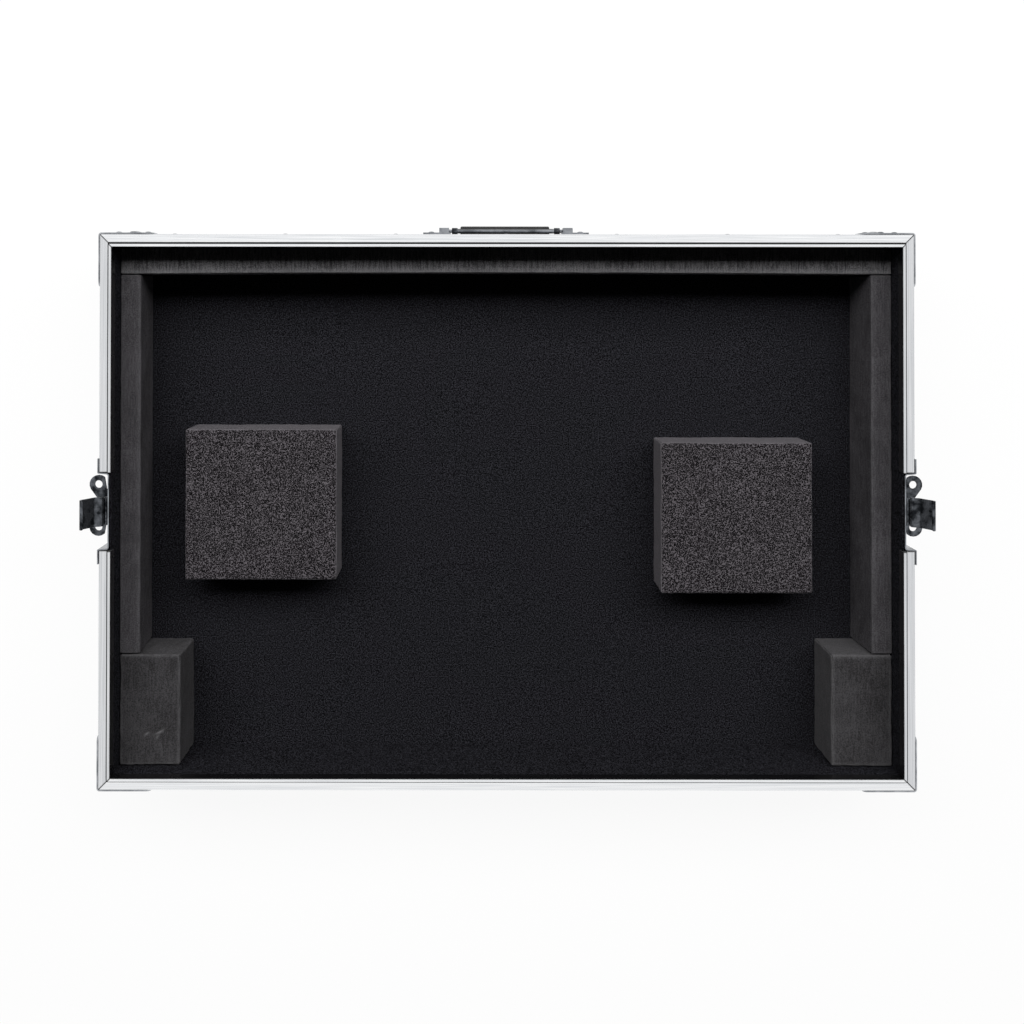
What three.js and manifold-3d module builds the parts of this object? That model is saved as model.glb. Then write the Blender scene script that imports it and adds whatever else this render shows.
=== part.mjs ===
// The latch half of a dj controller flight case: an open tray of laminated panels in aluminium
// edging, lined and fitted with foam, with a folding handle in front and a twist latch each side.
// It stands on its feet with the open side up. Millimetres, +Z up, front towards -Y.
import * as THREE from "three";
import { mergeVertices } from "three/addons/utils/BufferGeometryUtils.js";
import Module from "manifold-3d";

const wasm = await Module();
wasm.setup();

// Outside of the case
const caseLength = 820;
const caseWidth = 558;
const caseHeight = 100;
const footHeight = 12;

// Fits and cuts
const fitGap = 0.3;
const overrun = 5;
const weld = 0.6;
const mergeDistance = 1e-4;

// Panels and lining
const legThickness = 1.5;
const panelThickness = 7;
const liningThickness = 2.5;

// Rim extrusion
const rimWidth = 13.5;
const rimBand = 8.5;
const rimGroove = 1.5;
const rimGrooveDepth = 1;
const rimRound = 2;
const rimWeb = 3;
const rimSkirt = 26;
const rimLipDrop = 9;
const tongueHeight = 4;
const tongueChamfer = 0.8;

// Edge angles
const angleLeg = 25;
const angleRound = 1.2;

// Ball corners
const ballRadius = 17.4;
const ballInset = 9;
const ballSheet = 1.2;
const ballPlateLeg = 44;
const ballPlateSteps = 8;
const ballStepsAround = 20;
const ballStepsUp = 12;
const ballRivetShares = [
  [0.36, 0.74],
  [0.74, 0.36],
];

// Braces over the rim's mitres
const braceLeg = 53;
const braceHeight = 22;
const braceTop = 1.5;
const braceSheet = 1.8;
const braceRound = 5;
const braceRivetShares = [
  [0.3, 0.5],
  [0.6, 0.26],
  [0.6, 0.74],
  [0.86, 0.5],
];

// Rivet heads
const rivetRadius = 3.3;
const rivetRise = 1.3;
const rivetSides = 8;
const rivetEdgeShare = 0.25;
const rivetShoulderShares = [0.7, 0.8];

// Rivets along the edging
const edgeRivetSpacing = 110;
const edgeRivetMargin = 18;
const edgeRivetInset = 7;
const cornerRivetDrop = 14;

// Foam
const frontStripWidth = 28;
const sideStripWidth = 21.5;
const stripHeight = 59;
const cornerBlockWidth = 63.5;
const cornerBlockLength = 115;
const cornerBlockHeight = 59;
const padLength = 158;
const padWidth = 157;
const padHeight = 49;
const padPlaceShares = { left: [-0.293, 0.025], right: [0.3102, 0.0007] };

// Feet
const footTopRadius = 19;
const footBaseRadius = 16;
const footBoreRadius = 6;
const footBoreDepth = 6;
const footInset = 70;
const footSides = 28;

// Latch dish
const dishLength = 106;
const dishHeight = 70;
const dishSheet = 1.2;
const dishRound = 4;
const dishTop = 0.5;
const recessLength = 76;
const recessHeight = 60;
const recessDepth = 9;
const dishSideRivetShares = [0.14, 0.48, 0.82];
const dishBaseRivetShare = 0.2;

// Latch rotor, draw plate, hook and wing
const rotorDrop = 34;
const rotorRadius = 11;
const rotorThickness = 2.2;
const spindleRadius = 3;
const throwRadius = 6;
const throwPinRadius = 2.5;
const throwPlay = 1.4;
const slotPlay = 0.4;
const hubLength = 14;
const hubHeight = 5.2;
const rotorSides = 20;
const pinSides = 12;
const drawPlateLength = 28;
const drawPlateSheet = 1.2;
const drawPlateFoot = 4;
const knuckleRadius = 2;
const pinRadius = 1;
const hookHingeDrop = 4;
const hookHingeLift = 2.6;
const hookLength = 29.5;
const hookKnuckleLength = 20;
const hookSheet = 1.5;
const hookLean = THREE.MathUtils.degToRad(33);
const hookNeck = 2.6;
const hookJogStart = 7;
const hookJogEnd = 11;
const hookJog = 3.5;
const hookBend = 27.5;
const hookTop = 30;
const hookLipReach = 5;
const hookLipDrop = 1.2;
const hookLipShares = [
  [0.28, 0.25],
  [0.5, 0],
  [1, 1],
];
const wingHingeLift = 6.5;
const wingBarrelRadius = 2.2;
const wingSheet = 2;
const wingBaseHalf = 17;
const wingFlare = 5.2;
const wingLobeRadius = 9.5;
const wingLobeOut = 13.5;
const wingLobeStart = THREE.MathUtils.degToRad(-40);
const wingLobeSweep = THREE.MathUtils.degToRad(160);
const wingLobeSteps = 8;
const wingSpan = 63;
const wingHoleRadius = 4;
const wingWaist = 14.5;
const wingSides = 16;

// Handle
const handleLength = 177;
const handlePlateHeight = 46;
const handleRound = 6;
const handleFace = 1.4;
const handleCentreHeight = 61.5;
const axleLift = 5.2;
const axleRise = 14;
const axleRadius = 1.75;
const axleSides = 16;
const endPadLength = 31;
const endPadHeight = 26;
const endPadLift = 3.4;
const endPadMargin = 3;
const endPadTopMargin = 1.5;
const endPadRivetShare = 0.36;
const bossLength = 10;
const bossHeight = 13;
const bossLift = 8.4;
const bossEndWall = 1.5;
const bossInset = 24.5;
const bossChamfer = 2.4;
const bailRadius = 2.6;
const bailEyeRadius = 3.4;
const bailEyeLength = 6;
const bailSideGap = 6;
const bailDrop = 36;
const bailCorner = 5.2;
const bailSteps = 44;
const bailSides = 8;
const gripRadius = 5.1;
const gripLift = 7.4;
const gripSides = 24;

// Steps on the round edges of sheets and profiles
const sheetSteps = 4;
const profileSteps = 3;

// Derived places, measured inwards from the outside of the edging
const panelOuter = legThickness + fitGap;
const panelInner = panelOuter + panelThickness;
const liningOuter = panelInner + fitGap;
const liningInner = liningOuter + liningThickness;
const foamOuter = liningInner + fitGap;
const halfLength = caseLength / 2;
const halfWidth = caseWidth / 2;

// Derived heights
const panelBottom = footHeight + panelOuter;
const panelTop = panelBottom + panelThickness;
const floorLiningBottom = panelTop + fitGap;
const floorTop = floorLiningBottom + liningThickness;
const foamBottom = floorTop + fitGap;
const rimTop = footHeight + caseHeight;
const panelRise = rimTop - rimWeb - fitGap;
const recessHalf = recessLength / 2;
const dishShellHalf = recessHalf + dishSheet;
const cutoutHalf = dishShellHalf + fitGap;
const cutoutDrop = recessHeight + dishSheet + fitGap;

// Levels in the latch, measured outwards from the outside of the edging
const drawPlateLow = fitGap - recessDepth;
const drawPlateHigh = drawPlateLow + drawPlateSheet;
const rotorLow = drawPlateHigh + fitGap;
const rotorHigh = rotorLow + rotorThickness;
const hookHingeOut = hookHingeLift - recessDepth;
const wingHingeOut = wingHingeLift - recessDepth;

// Places along the handle, measured from its middle
const bossPlace = handleLength / 2 - bossInset;
const bailHalf = bossPlace - bossLength / 2 - bailSideGap;
const gripLength = (bailHalf - bailCorner - fitGap) * 2;

// The case sits in the middle of its own box, so the handle's reach in front is made up behind.
const handleReach = gripLift + gripRadius;
const ballReach = ballRadius - ballInset;
const centring = (handleReach - ballReach) / 2;

// Which way each side lies along X
const sideSigns = { left: -1, right: 1 };

const finishes = {
  extrusion: new THREE.MeshStandardMaterial({ color: "#c9ccd0", roughness: 0.36, metalness: 1 }),
  plated: new THREE.MeshStandardMaterial({ color: "#b9bcc0", roughness: 0.24, metalness: 1 }),
  laminate: new THREE.MeshStandardMaterial({ color: "#16171a", roughness: 0.5, metalness: 0 }),
  lining: new THREE.MeshStandardMaterial({ color: "#121316", roughness: 0.95, metalness: 0 }),
  denseFoam: new THREE.MeshStandardMaterial({ color: "#3c3c3d", roughness: 0.9, metalness: 0 }),
  openFoam: new THREE.MeshStandardMaterial({ color: "#4a494c", roughness: 1, metalness: 0 }),
  rubber: new THREE.MeshStandardMaterial({ color: "#1b1b1c", roughness: 0.7, metalness: 0 }),
};

// A closed geometry as a solid, turned right side out if its profile ran the other way.
function solidOf(geometry) {
  const bare = geometry.index ? geometry.toNonIndexed() : geometry.clone();
  bare.deleteAttribute("normal");
  bare.deleteAttribute("uv");
  const merged = mergeVertices(bare, mergeDistance);
  const triVerts = new Uint32Array(merged.index.array);
  const mesh = { numProp: 3, vertProperties: merged.attributes.position.array, triVerts };
  const made = new wasm.Manifold(new wasm.Mesh(mesh));
  if (made.volume() > 0) return made;
  for (let i = 0; i < triVerts.length; i += 3) {
    [triVerts[i + 1], triVerts[i + 2]] = [triVerts[i + 2], triVerts[i + 1]];
  }
  return new wasm.Manifold(new wasm.Mesh(mesh));
}

// The first geometry joined with the others.
function joined(...geometries) {
  const [first, ...rest] = geometries.map(solidOf);
  return geometryOf(rest.reduce((whole, piece) => whole.add(piece), first));
}

// The first geometry with the others cut out of it.
function cutFrom(...geometries) {
  const [first, ...rest] = geometries.map(solidOf);
  return geometryOf(rest.reduce((whole, piece) => whole.subtract(piece), first));
}

function geometryOf(solid) {
  const { vertProperties, triVerts } = solid.getMesh();
  const geometry = new THREE.BufferGeometry();
  geometry.setAttribute("position", new THREE.BufferAttribute(new Float32Array(vertProperties), 3));
  geometry.setIndex(new THREE.BufferAttribute(new Uint32Array(triVerts), 1));
  return geometry;
}

// A named piece with flat faces, added to its group.
function addPiece(group, name, geometry, material) {
  const flat = geometryOf(solidOf(geometry)).toNonIndexed();
  flat.computeVertexNormals();
  const piece = new THREE.Mesh(flat, material);
  piece.name = name;
  group.add(piece);
}

// A box between two corners.
function block([x0, y0, z0], [x1, y1, z1]) {
  const box = new THREE.BoxGeometry(x1 - x0, y1 - y0, z1 - z0);
  return box.translate((x0 + x1) / 2, (y0 + y1) / 2, (z0 + z1) / 2);
}

function extruded(shape, depth, curveSegments = sheetSteps) {
  return new THREE.ExtrudeGeometry(shape, { depth, curveSegments, bevelEnabled: false });
}

// A round bar along one axis, from low to high on that axis.
function bar(axis, radius, low, high, sides) {
  const rod = new THREE.CylinderGeometry(radius, radius, high - low, sides);
  if (axis === "x") rod.rotateZ(-Math.PI / 2);
  if (axis === "z") rod.rotateX(Math.PI / 2);
  const middle = (low + high) / 2;
  return rod.translate(
    axis === "x" ? middle : 0,
    axis === "y" ? middle : 0,
    axis === "z" ? middle : 0,
  );
}

// A rectangle with round corners, centred.
function roundedRectangle(width, height, radius) {
  const x = width / 2;
  const y = height / 2;
  const shape = new THREE.Shape();
  shape.absarc(x - radius, y - radius, radius, 0, Math.PI / 2);
  shape.absarc(radius - x, y - radius, radius, Math.PI / 2, Math.PI);
  shape.absarc(radius - x, radius - y, radius, Math.PI, Math.PI * 1.5);
  shape.absarc(x - radius, radius - y, radius, Math.PI * 1.5, Math.PI * 2);
  return shape;
}

// A rivet's domed head on a face: its axis runs out along +X, and its root sinks into the face.
function rivetHead(face, y, z) {
  const [outShare, upShare] = rivetShoulderShares;
  const profile = [
    new THREE.Vector2(0, -weld),
    new THREE.Vector2(rivetRadius, -weld),
    new THREE.Vector2(rivetRadius, rivetRise * rivetEdgeShare),
    new THREE.Vector2(rivetRadius * outShare, rivetRise * upShare),
    new THREE.Vector2(0, rivetRise),
  ];
  const head = new THREE.LatheGeometry(profile, rivetSides);
  return head.rotateZ(-Math.PI / 2).translate(face, y, z);
}

// A row of rivet heads on an edge profile's outside, between two places along it.
function rivetRow(from, to, height) {
  const [first, last] = [from + edgeRivetMargin, to - edgeRivetMargin];
  const count = Math.max(1, Math.round((last - first) / edgeRivetSpacing));
  const heads = [];
  for (let i = 0; i <= count; i += 1) {
    heads.push(rivetHead(0, first + ((last - first) * i) / count, height));
  }
  return heads;
}

// A group at a place on the case, turned about the vertical by a number of quarter turns.
function frameAt(parent, x, y, z, quarters) {
  const frame = new THREE.Group();
  frame.position.set(x, y, z);
  frame.rotation.z = (quarters * Math.PI) / 2;
  parent.add(frame);
  return frame;
}

// Side frames: local +X points out of the case, local +Y runs along the wall.
const sidePlaces = {
  right: [halfLength, 0, 0],
  rear: [0, halfWidth, 1],
  left: [-halfLength, 0, 2],
  front: [0, -halfWidth, 3],
};

// Corner frames: local +X and +Y both point out of the case.
const cornerPlaces = {
  rear_right: [halfLength, halfWidth, 0],
  rear_left: [-halfLength, halfWidth, 1],
  front_left: [-halfLength, -halfWidth, 2],
  front_right: [halfLength, -halfWidth, 3],
};

// A profile in the plane across a wall, x out and y up, run along the wall between two places.
// A mitred end is drawn back by as much as each point lies inside the case.
function mitredBar(profile, from, to, mitreFrom, mitreTo) {
  const geometry = extruded(profile, to - from, profileSteps);
  geometry.rotateX(Math.PI / 2);
  geometry.translate(0, to, 0);
  const points = geometry.getAttribute("position");
  const middle = (from + to) / 2;
  for (let i = 0; i < points.count; i += 1) {
    const drawn = fitGap - points.getX(i);
    const y = points.getY(i);
    if (y > middle && mitreTo) points.setY(i, y - drawn);
    if (y < middle && mitreFrom) points.setY(i, y + drawn);
  }
  return geometry;
}

// The rim's section: a skirt outside the panel, a band, a groove and the tongue that the lid
// closes over, and a lip that hides the top of the lining.
function rimProfile() {
  const tongueOuter = rimBand + rimGroove;
  const shape = new THREE.Shape();
  shape.moveTo(0, -rimSkirt);
  shape.lineTo(0, -rimRound);
  shape.absarc(-rimRound, -rimRound, rimRound, 0, Math.PI / 2);
  shape.lineTo(-rimBand, 0);
  shape.lineTo(-rimBand, -rimGrooveDepth);
  shape.lineTo(-tongueOuter, -rimGrooveDepth);
  shape.lineTo(-tongueOuter, tongueHeight - tongueChamfer);
  shape.lineTo(-tongueOuter - tongueChamfer, tongueHeight);
  shape.lineTo(tongueChamfer - rimWidth, tongueHeight);
  shape.lineTo(-rimWidth, tongueHeight - tongueChamfer);
  shape.lineTo(-rimWidth, -rimLipDrop);
  shape.lineTo(-foamOuter, -rimLipDrop);
  shape.lineTo(-foamOuter, -rimWeb);
  shape.lineTo(-legThickness, -rimWeb);
  shape.lineTo(-legThickness, -rimSkirt);
  return shape;
}

// An angle's section for the bottom edges, with its outer edge rounded.
function angleProfile() {
  const shape = new THREE.Shape();
  shape.moveTo(0, angleLeg);
  shape.lineTo(-legThickness, angleLeg);
  shape.lineTo(-legThickness, legThickness);
  shape.lineTo(-angleLeg, legThickness);
  shape.lineTo(-angleLeg, 0);
  shape.absarc(-angleRound, angleRound, angleRound, -Math.PI / 2, 0);
  return shape;
}

// An angle's section for the upright edges, in the plane of the floor.
function cornerProfile() {
  const shape = new THREE.Shape();
  shape.moveTo(-angleLeg, 0);
  shape.lineTo(-angleLeg, -legThickness);
  shape.lineTo(-legThickness, -legThickness);
  shape.lineTo(-legThickness, -angleLeg);
  shape.lineTo(0, -angleLeg);
  shape.absarc(-angleRound, -angleRound, angleRound, 0, Math.PI / 2);
  return shape;
}

function addPanels(group) {
  const x = halfLength - panelOuter;
  const y = halfWidth - panelOuter;
  const innerX = halfLength - panelInner;
  const innerY = halfWidth - panelInner;
  const base = panelTop + fitGap;
  addPiece(group, "floor_panel", block([-x, -y, panelBottom], [x, y, panelTop]), finishes.laminate);
  addPiece(group, "front_wall", block([-x, -y, base], [x, -innerY, panelRise]), finishes.laminate);
  addPiece(group, "rear_wall", block([-x, innerY, base], [x, y, panelRise]), finishes.laminate);
  for (const [name, side] of Object.entries(sideSigns)) {
    const frame = new THREE.Group();
    frame.scale.x = side;
    const end = innerY - fitGap;
    const panel = block([innerX, -end, base], [x, end, panelRise]);
    const notch = block(
      [innerX - overrun, -cutoutHalf, rimTop - cutoutDrop],
      [x + overrun, cutoutHalf, rimTop],
    );
    addPiece(frame, name + "_wall", cutFrom(panel, notch), finishes.laminate);
    group.add(frame);
  }
}

function addRim(group) {
  const profile = rimProfile();
  for (const name of ["front", "rear"]) {
    const [x, y, quarters] = sidePlaces[name];
    const frame = frameAt(group, x, y, rimTop, quarters);
    const rail = mitredBar(profile, -halfLength, halfLength, true, true);
    const clear = halfLength - braceLeg;
    const heads = rivetRow(-clear, clear, edgeRivetInset - rimSkirt);
    addPiece(frame, name + "_rim_extrusion", joined(rail, ...heads), finishes.extrusion);
  }
  for (const name of ["left", "right"]) {
    const [x, y, quarters] = sidePlaces[name];
    const frame = frameAt(group, x, y, rimTop, quarters);
    const ahead = name === "right" ? "rear" : "front";
    const behind = name === "right" ? "front" : "rear";
    const far = mitredBar(profile, cutoutHalf, halfWidth, false, true);
    const near = mitredBar(profile, -halfWidth, -cutoutHalf, true, false);
    const farHeads = rivetRow(dishLength / 2, halfWidth - braceLeg, edgeRivetInset - rimSkirt);
    const nearHeads = rivetRow(braceLeg - halfWidth, -dishLength / 2, edgeRivetInset - rimSkirt);
    addPiece(frame, name + "_" + ahead + "_rim_extrusion", joined(far, ...farHeads), finishes.extrusion);
    addPiece(frame, name + "_" + behind + "_rim_extrusion", joined(near, ...nearHeads), finishes.extrusion);
  }
}

function addEdgeAngles(group) {
  const profile = angleProfile();
  for (const [name, [x, y, quarters]] of Object.entries(sidePlaces)) {
    const frame = frameAt(group, x, y, footHeight, quarters);
    const half = quarters % 2 ? halfLength : halfWidth;
    const angle = mitredBar(profile, -half, half, true, true);
    const clear = half - ballPlateLeg;
    const heads = rivetRow(-clear, clear, angleLeg - edgeRivetInset);
    addPiece(frame, name + "_bottom_angle", joined(angle, ...heads), finishes.extrusion);
  }
  const low = footHeight + angleLeg + fitGap;
  const high = rimTop - rimSkirt - fitGap;
  const upright = extruded(cornerProfile(), high - low, profileSteps);
  const head = rivetHead(0, edgeRivetInset - angleLeg, high - low - cornerRivetDrop);
  const otherHead = head.clone().rotateZ(Math.PI / 2).scale(-1, 1, 1);
  const angle = joined(upright, head, otherHead);
  for (const [name, [x, y, quarters]] of Object.entries(cornerPlaces)) {
    const frame = frameAt(group, x, y, low, quarters);
    addPiece(frame, name + "_corner_angle", angle, finishes.extrusion);
  }
}

// A pressed corner: three quarter round plates and a hollow ball, over the case's own corner.
function ballCorner() {
  const outer = fitGap + ballSheet;
  const sector = new THREE.Shape();
  sector.moveTo(outer, outer);
  sector.lineTo(outer - ballPlateLeg, outer);
  sector.absarc(outer, outer, ballPlateLeg, Math.PI, Math.PI * 1.5);
  const plate = extruded(sector, ballSheet, ballPlateSteps).translate(0, 0, -outer);
  const heads = ballRivetShares.map(([a, b]) => {
    const head = rivetHead(outer, 0, 0);
    head.rotateY(Math.PI / 2);
    return head.translate(outer - a * ballPlateLeg, outer - b * ballPlateLeg, 0);
  });
  const face = joined(plate, ...heads);
  const axis = (x, y, z) => new THREE.Vector3(x, y, z);
  const toX = new THREE.Matrix4().makeBasis(axis(0, 1, 0), axis(0, 0, -1), axis(-1, 0, 0));
  const toY = new THREE.Matrix4().makeBasis(axis(0, 0, -1), axis(1, 0, 0), axis(0, -1, 0));
  const ball = (radius) => {
    const sphere = new THREE.SphereGeometry(radius, ballStepsAround, ballStepsUp);
    return sphere.translate(-ballInset, -ballInset, ballInset);
  };
  const [faceX, faceY] = [toX, toY].map((turn) => face.clone().applyMatrix4(turn));
  const whole = joined(face, faceX, faceY, ball(ballRadius));
  const far = ballPlateLeg + overrun;
  const corner = block([-far, -far, -fitGap], [fitGap, fitGap, far]);
  return cutFrom(whole, corner, ball(ballRadius - ballSheet));
}

// An angled brace round the rim's mitre: two plates with round ends and their rivet heads.
function rimBrace() {
  const outer = fitGap + braceSheet;
  const reach = braceLeg + outer;
  const plate = extruded(roundedRectangle(reach, braceHeight, braceRound), braceSheet);
  plate.rotateX(Math.PI / 2);
  plate.rotateZ(Math.PI / 2);
  plate.translate(fitGap, outer - reach / 2, -braceTop - braceHeight / 2);
  const bend = block(
    [fitGap, -braceRound, -braceTop - braceHeight],
    [outer, outer, -braceTop],
  );
  const heads = braceRivetShares.map(([along, down]) =>
    rivetHead(outer, -along * braceLeg, -braceTop - down * braceHeight),
  );
  const leg = joined(plate, bend, ...heads);
  const other = leg.clone().rotateZ(Math.PI / 2).scale(-1, 1, 1);
  return joined(leg, other);
}

function addCorners(group) {
  for (const [name, [x, y, quarters]] of Object.entries(cornerPlaces)) {
    const low = frameAt(group, x, y, footHeight, quarters);
    addPiece(low, name + "_ball_corner", ballCorner(), finishes.plated);
    const high = frameAt(group, x, y, rimTop, quarters);
    addPiece(high, name + "_rim_brace", rimBrace(), finishes.plated);
  }
}

// The wall lining is one band round the inside, with a pocket behind each latch dish.
function addLining(group) {
  const x = halfLength - liningOuter;
  const y = halfWidth - liningOuter;
  addPiece(
    group,
    "floor_lining",
    block([-x, -y, floorLiningBottom], [x, y, floorTop]),
    finishes.lining,
  );
  const innerX = halfLength - liningInner;
  const innerY = halfWidth - liningInner;
  const outside = block([-x, -y, foamBottom], [x, y, panelRise]);
  const inside = block(
    [-innerX, -innerY, foamBottom - overrun],
    [innerX, innerY, panelRise + overrun],
  );
  const pocketX = halfLength - recessDepth - dishSheet - fitGap;
  const pocket = block(
    [pocketX, -cutoutHalf, rimTop - cutoutDrop],
    [halfLength, cutoutHalf, rimTop],
  );
  const otherPocket = pocket.clone().rotateZ(Math.PI);
  addPiece(group, "wall_lining", cutFrom(outside, inside, pocket, otherPocket), finishes.lining);
}

function addFoam(group) {
  const x = halfLength - foamOuter;
  const y = halfWidth - foamOuter;
  const stripTop = floorTop + stripHeight;
  const blockTop = floorTop + cornerBlockHeight;
  const sideStart = frontStripWidth + fitGap - y;
  const blockStart = y - cornerBlockLength;
  addPiece(
    group,
    "front_foam_strip",
    block([-x, -y, foamBottom], [x, frontStripWidth - y, stripTop]),
    finishes.denseFoam,
  );
  for (const [name, side] of Object.entries(sideSigns)) {
    const frame = new THREE.Group();
    frame.scale.x = side;
    group.add(frame);
    const strip = block(
      [x - sideStripWidth, sideStart, foamBottom],
      [x, blockStart - fitGap, stripTop],
    );
    addPiece(frame, name + "_foam_strip", strip, finishes.denseFoam);
    const corner = block([x - cornerBlockWidth, blockStart, foamBottom], [x, y, blockTop]);
    addPiece(frame, name + "_foam_corner_block", corner, finishes.denseFoam);
    const [alongShare, acrossShare] = padPlaceShares[name];
    const pad = block(
      [-padLength / 2, -padWidth / 2, foamBottom],
      [padLength / 2, padWidth / 2, floorTop + padHeight],
    );
    pad.translate(alongShare * caseLength, acrossShare * caseWidth, 0);
    addPiece(group, name + "_foam_pad", pad, finishes.openFoam);
  }
}

// A rubber foot: a short cone with a bore from below for its screw.
function addFeet(group) {
  const top = panelBottom - fitGap;
  const profile = [
    new THREE.Vector2(0, footBoreDepth),
    new THREE.Vector2(footBoreRadius, footBoreDepth),
    new THREE.Vector2(footBoreRadius, 0),
    new THREE.Vector2(footBaseRadius, 0),
    new THREE.Vector2(footTopRadius, top),
    new THREE.Vector2(0, top),
  ];
  for (const [name, [x, y]] of Object.entries(cornerPlaces)) {
    const foot = new THREE.LatheGeometry(profile, footSides).rotateX(Math.PI / 2);
    foot.translate(x - Math.sign(x) * footInset, y - Math.sign(y) * footInset, 0);
    addPiece(group, name + "_foot", foot, finishes.rubber);
  }
}

// The dish: a flange over the edging and a recess that is open at the top.
function latchDish() {
  const outer = fitGap + dishSheet;
  const flange = extruded(roundedRectangle(dishLength, dishHeight, dishRound), dishSheet);
  flange.rotateX(Math.PI / 2);
  flange.rotateZ(Math.PI / 2);
  flange.translate(fitGap, 0, -dishTop - dishHeight / 2);
  const shell = block(
    [-recessDepth - dishSheet, -dishShellHalf, -recessHeight - dishSheet],
    [outer, dishShellHalf, -dishTop],
  );
  const recess = block([-recessDepth, -recessHalf, -recessHeight], [overrun, recessHalf, overrun]);
  const spindleHole = bar("x", spindleRadius + fitGap, -recessDepth - overrun, 0, rotorSides);
  spindleHole.translate(0, 0, -rotorDrop);
  const sideMargin = (dishLength / 2 + recessHalf) / 2;
  const baseMargin = (dishTop + dishHeight + recessHeight) / 2;
  const heads = [];
  for (const side of [-1, 1]) {
    for (const share of dishSideRivetShares) {
      heads.push(rivetHead(outer, side * sideMargin, -dishTop - share * dishHeight));
    }
    heads.push(rivetHead(outer, side * dishBaseRivetShare * dishLength, -baseMargin));
  }
  return cutFrom(joined(flange, shell, ...heads), recess, spindleHole);
}

// The rotor: spindle and throw pin below its disc, and a hub that carries the wing's pin.
function latchRotor() {
  const disc = bar("x", rotorRadius, rotorLow, rotorHigh, rotorSides);
  const spindle = bar("x", spindleRadius, -recessDepth - dishSheet, rotorLow + weld, rotorSides);
  const throwPin = bar("x", throwPinRadius, drawPlateLow, rotorLow + weld, rotorSides);
  throwPin.translate(0, 0, throwRadius);
  const hubTop = wingHingeOut + wingBarrelRadius;
  const hub = block(
    [rotorHigh - weld, -hubLength / 2, -hubHeight / 2],
    [hubTop, hubLength / 2, hubHeight / 2],
  );
  const hole = bar("y", pinRadius + fitGap, -hubLength, hubLength, pinSides);
  hole.translate(wingHingeOut, 0, 0);
  return cutFrom(joined(disc, spindle, throwPin, hub), hole).translate(0, 0, -rotorDrop);
}

// The draw plate lies under the rotor. Its cross-shaped window takes the throw pin and lets the
// spindle pass, and two knuckles at its top carry the hook.
function latchDrawPlate() {
  const half = drawPlateLength / 2;
  const windowCentre = throwRadius - rotorDrop;
  const slotHalf = throwRadius + throwPinRadius + slotPlay;
  const slotRise = throwPinRadius + throwPlay;
  const wayHalf = spindleRadius + slotPlay;
  const wayRise = throwRadius + spindleRadius + slotPlay;
  const plate = block(
    [drawPlateLow, -half, windowCentre - wayRise - drawPlateFoot],
    [drawPlateHigh, half, -hookHingeDrop],
  );
  const slot = block(
    [drawPlateLow - overrun, -slotHalf, windowCentre - slotRise],
    [drawPlateHigh + overrun, slotHalf, windowCentre + slotRise],
  );
  const way = block(
    [drawPlateLow - overrun, -wayHalf, windowCentre - wayRise],
    [drawPlateHigh + overrun, wayHalf, windowCentre + wayRise],
  );
  const knuckle = bar("y", knuckleRadius, -half, half, pinSides);
  knuckle.translate(hookHingeOut, 0, -hookHingeDrop);
  const room = hookKnuckleLength / 2 + fitGap;
  const notchDrop = hookHingeDrop + knuckleRadius + fitGap;
  const notch = block([-recessDepth, -room, -notchDrop], [overrun, room, overrun]);
  const hole = bar("y", pinRadius + fitGap, -half - overrun, half + overrun, pinSides);
  hole.translate(hookHingeOut, 0, -hookHingeDrop);
  return cutFrom(joined(plate, knuckle), slot, way, notch, hole);
}

// A bent sheet seen from its edge: the outline of a line of points with the sheet's thickness.
function sheetOutline(points, thickness) {
  const line = points.map(([x, y]) => new THREE.Vector2(x, y));
  const sides = line.map((point, i) => {
    const before = line[Math.max(i - 1, 0)];
    const after = line[Math.min(i + 1, line.length - 1)];
    const run = after.clone().sub(before).normalize();
    return new THREE.Vector2(-run.y, run.x).multiplyScalar(thickness / 2);
  });
  const left = line.map((point, i) => point.clone().add(sides[i]));
  const right = line.map((point, i) => point.clone().sub(sides[i]));
  return new THREE.Shape([...left, ...right.reverse()]);
}

// The hook leans out from its pin. It steps out over the wing's room, then turns in to its lip.
function latchHook() {
  const half = hookLength / 2;
  const knuckleHalf = hookKnuckleLength / 2;
  const neckPoints = [
    [0, 0],
    [0, hookJogStart],
  ];
  const bladePoints = [
    [0, hookNeck],
    [0, hookJogStart],
    [hookJog, hookJogEnd],
    [hookJog, hookBend],
  ];
  for (const [reachShare, dropShare] of hookLipShares) {
    bladePoints.push([hookJog - reachShare * hookLipReach, hookTop - dropShare * hookLipDrop]);
  }
  const neck = extruded(sheetOutline(neckPoints, hookSheet), hookKnuckleLength);
  const blade = extruded(sheetOutline(bladePoints, hookSheet), hookLength);
  neck.rotateX(Math.PI / 2).translate(0, knuckleHalf, 0);
  blade.rotateX(Math.PI / 2).translate(0, half, 0);
  const barrel = bar("y", knuckleRadius, -knuckleHalf, knuckleHalf, pinSides);
  const hole = bar("y", pinRadius + fitGap, -half, half, pinSides);
  const hook = cutFrom(joined(neck, blade, barrel), hole);
  return hook.rotateY(hookLean).translate(hookHingeOut, 0, -hookHingeDrop);
}

// Half of the wing's outline, from its base at the pin out round the lobe to the waist.
function wingHalfOutline(side) {
  const lobePlace = wingSpan / 2 - wingLobeRadius;
  const start = hubLength / 2 + fitGap;
  const points = [
    [start, wingFlare],
    [start, 0],
    [wingBaseHalf, 0],
    [wingBaseHalf, wingFlare],
  ];
  for (let i = 0; i <= wingLobeSteps; i += 1) {
    const angle = wingLobeStart + (wingLobeSweep * i) / wingLobeSteps;
    points.push([
      lobePlace + wingLobeRadius * Math.cos(angle),
      wingLobeOut + wingLobeRadius * Math.sin(angle),
    ]);
  }
  points.push([start, wingWaist]);
  return points.map(([x, y]) => [side * x, y]);
}

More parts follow.
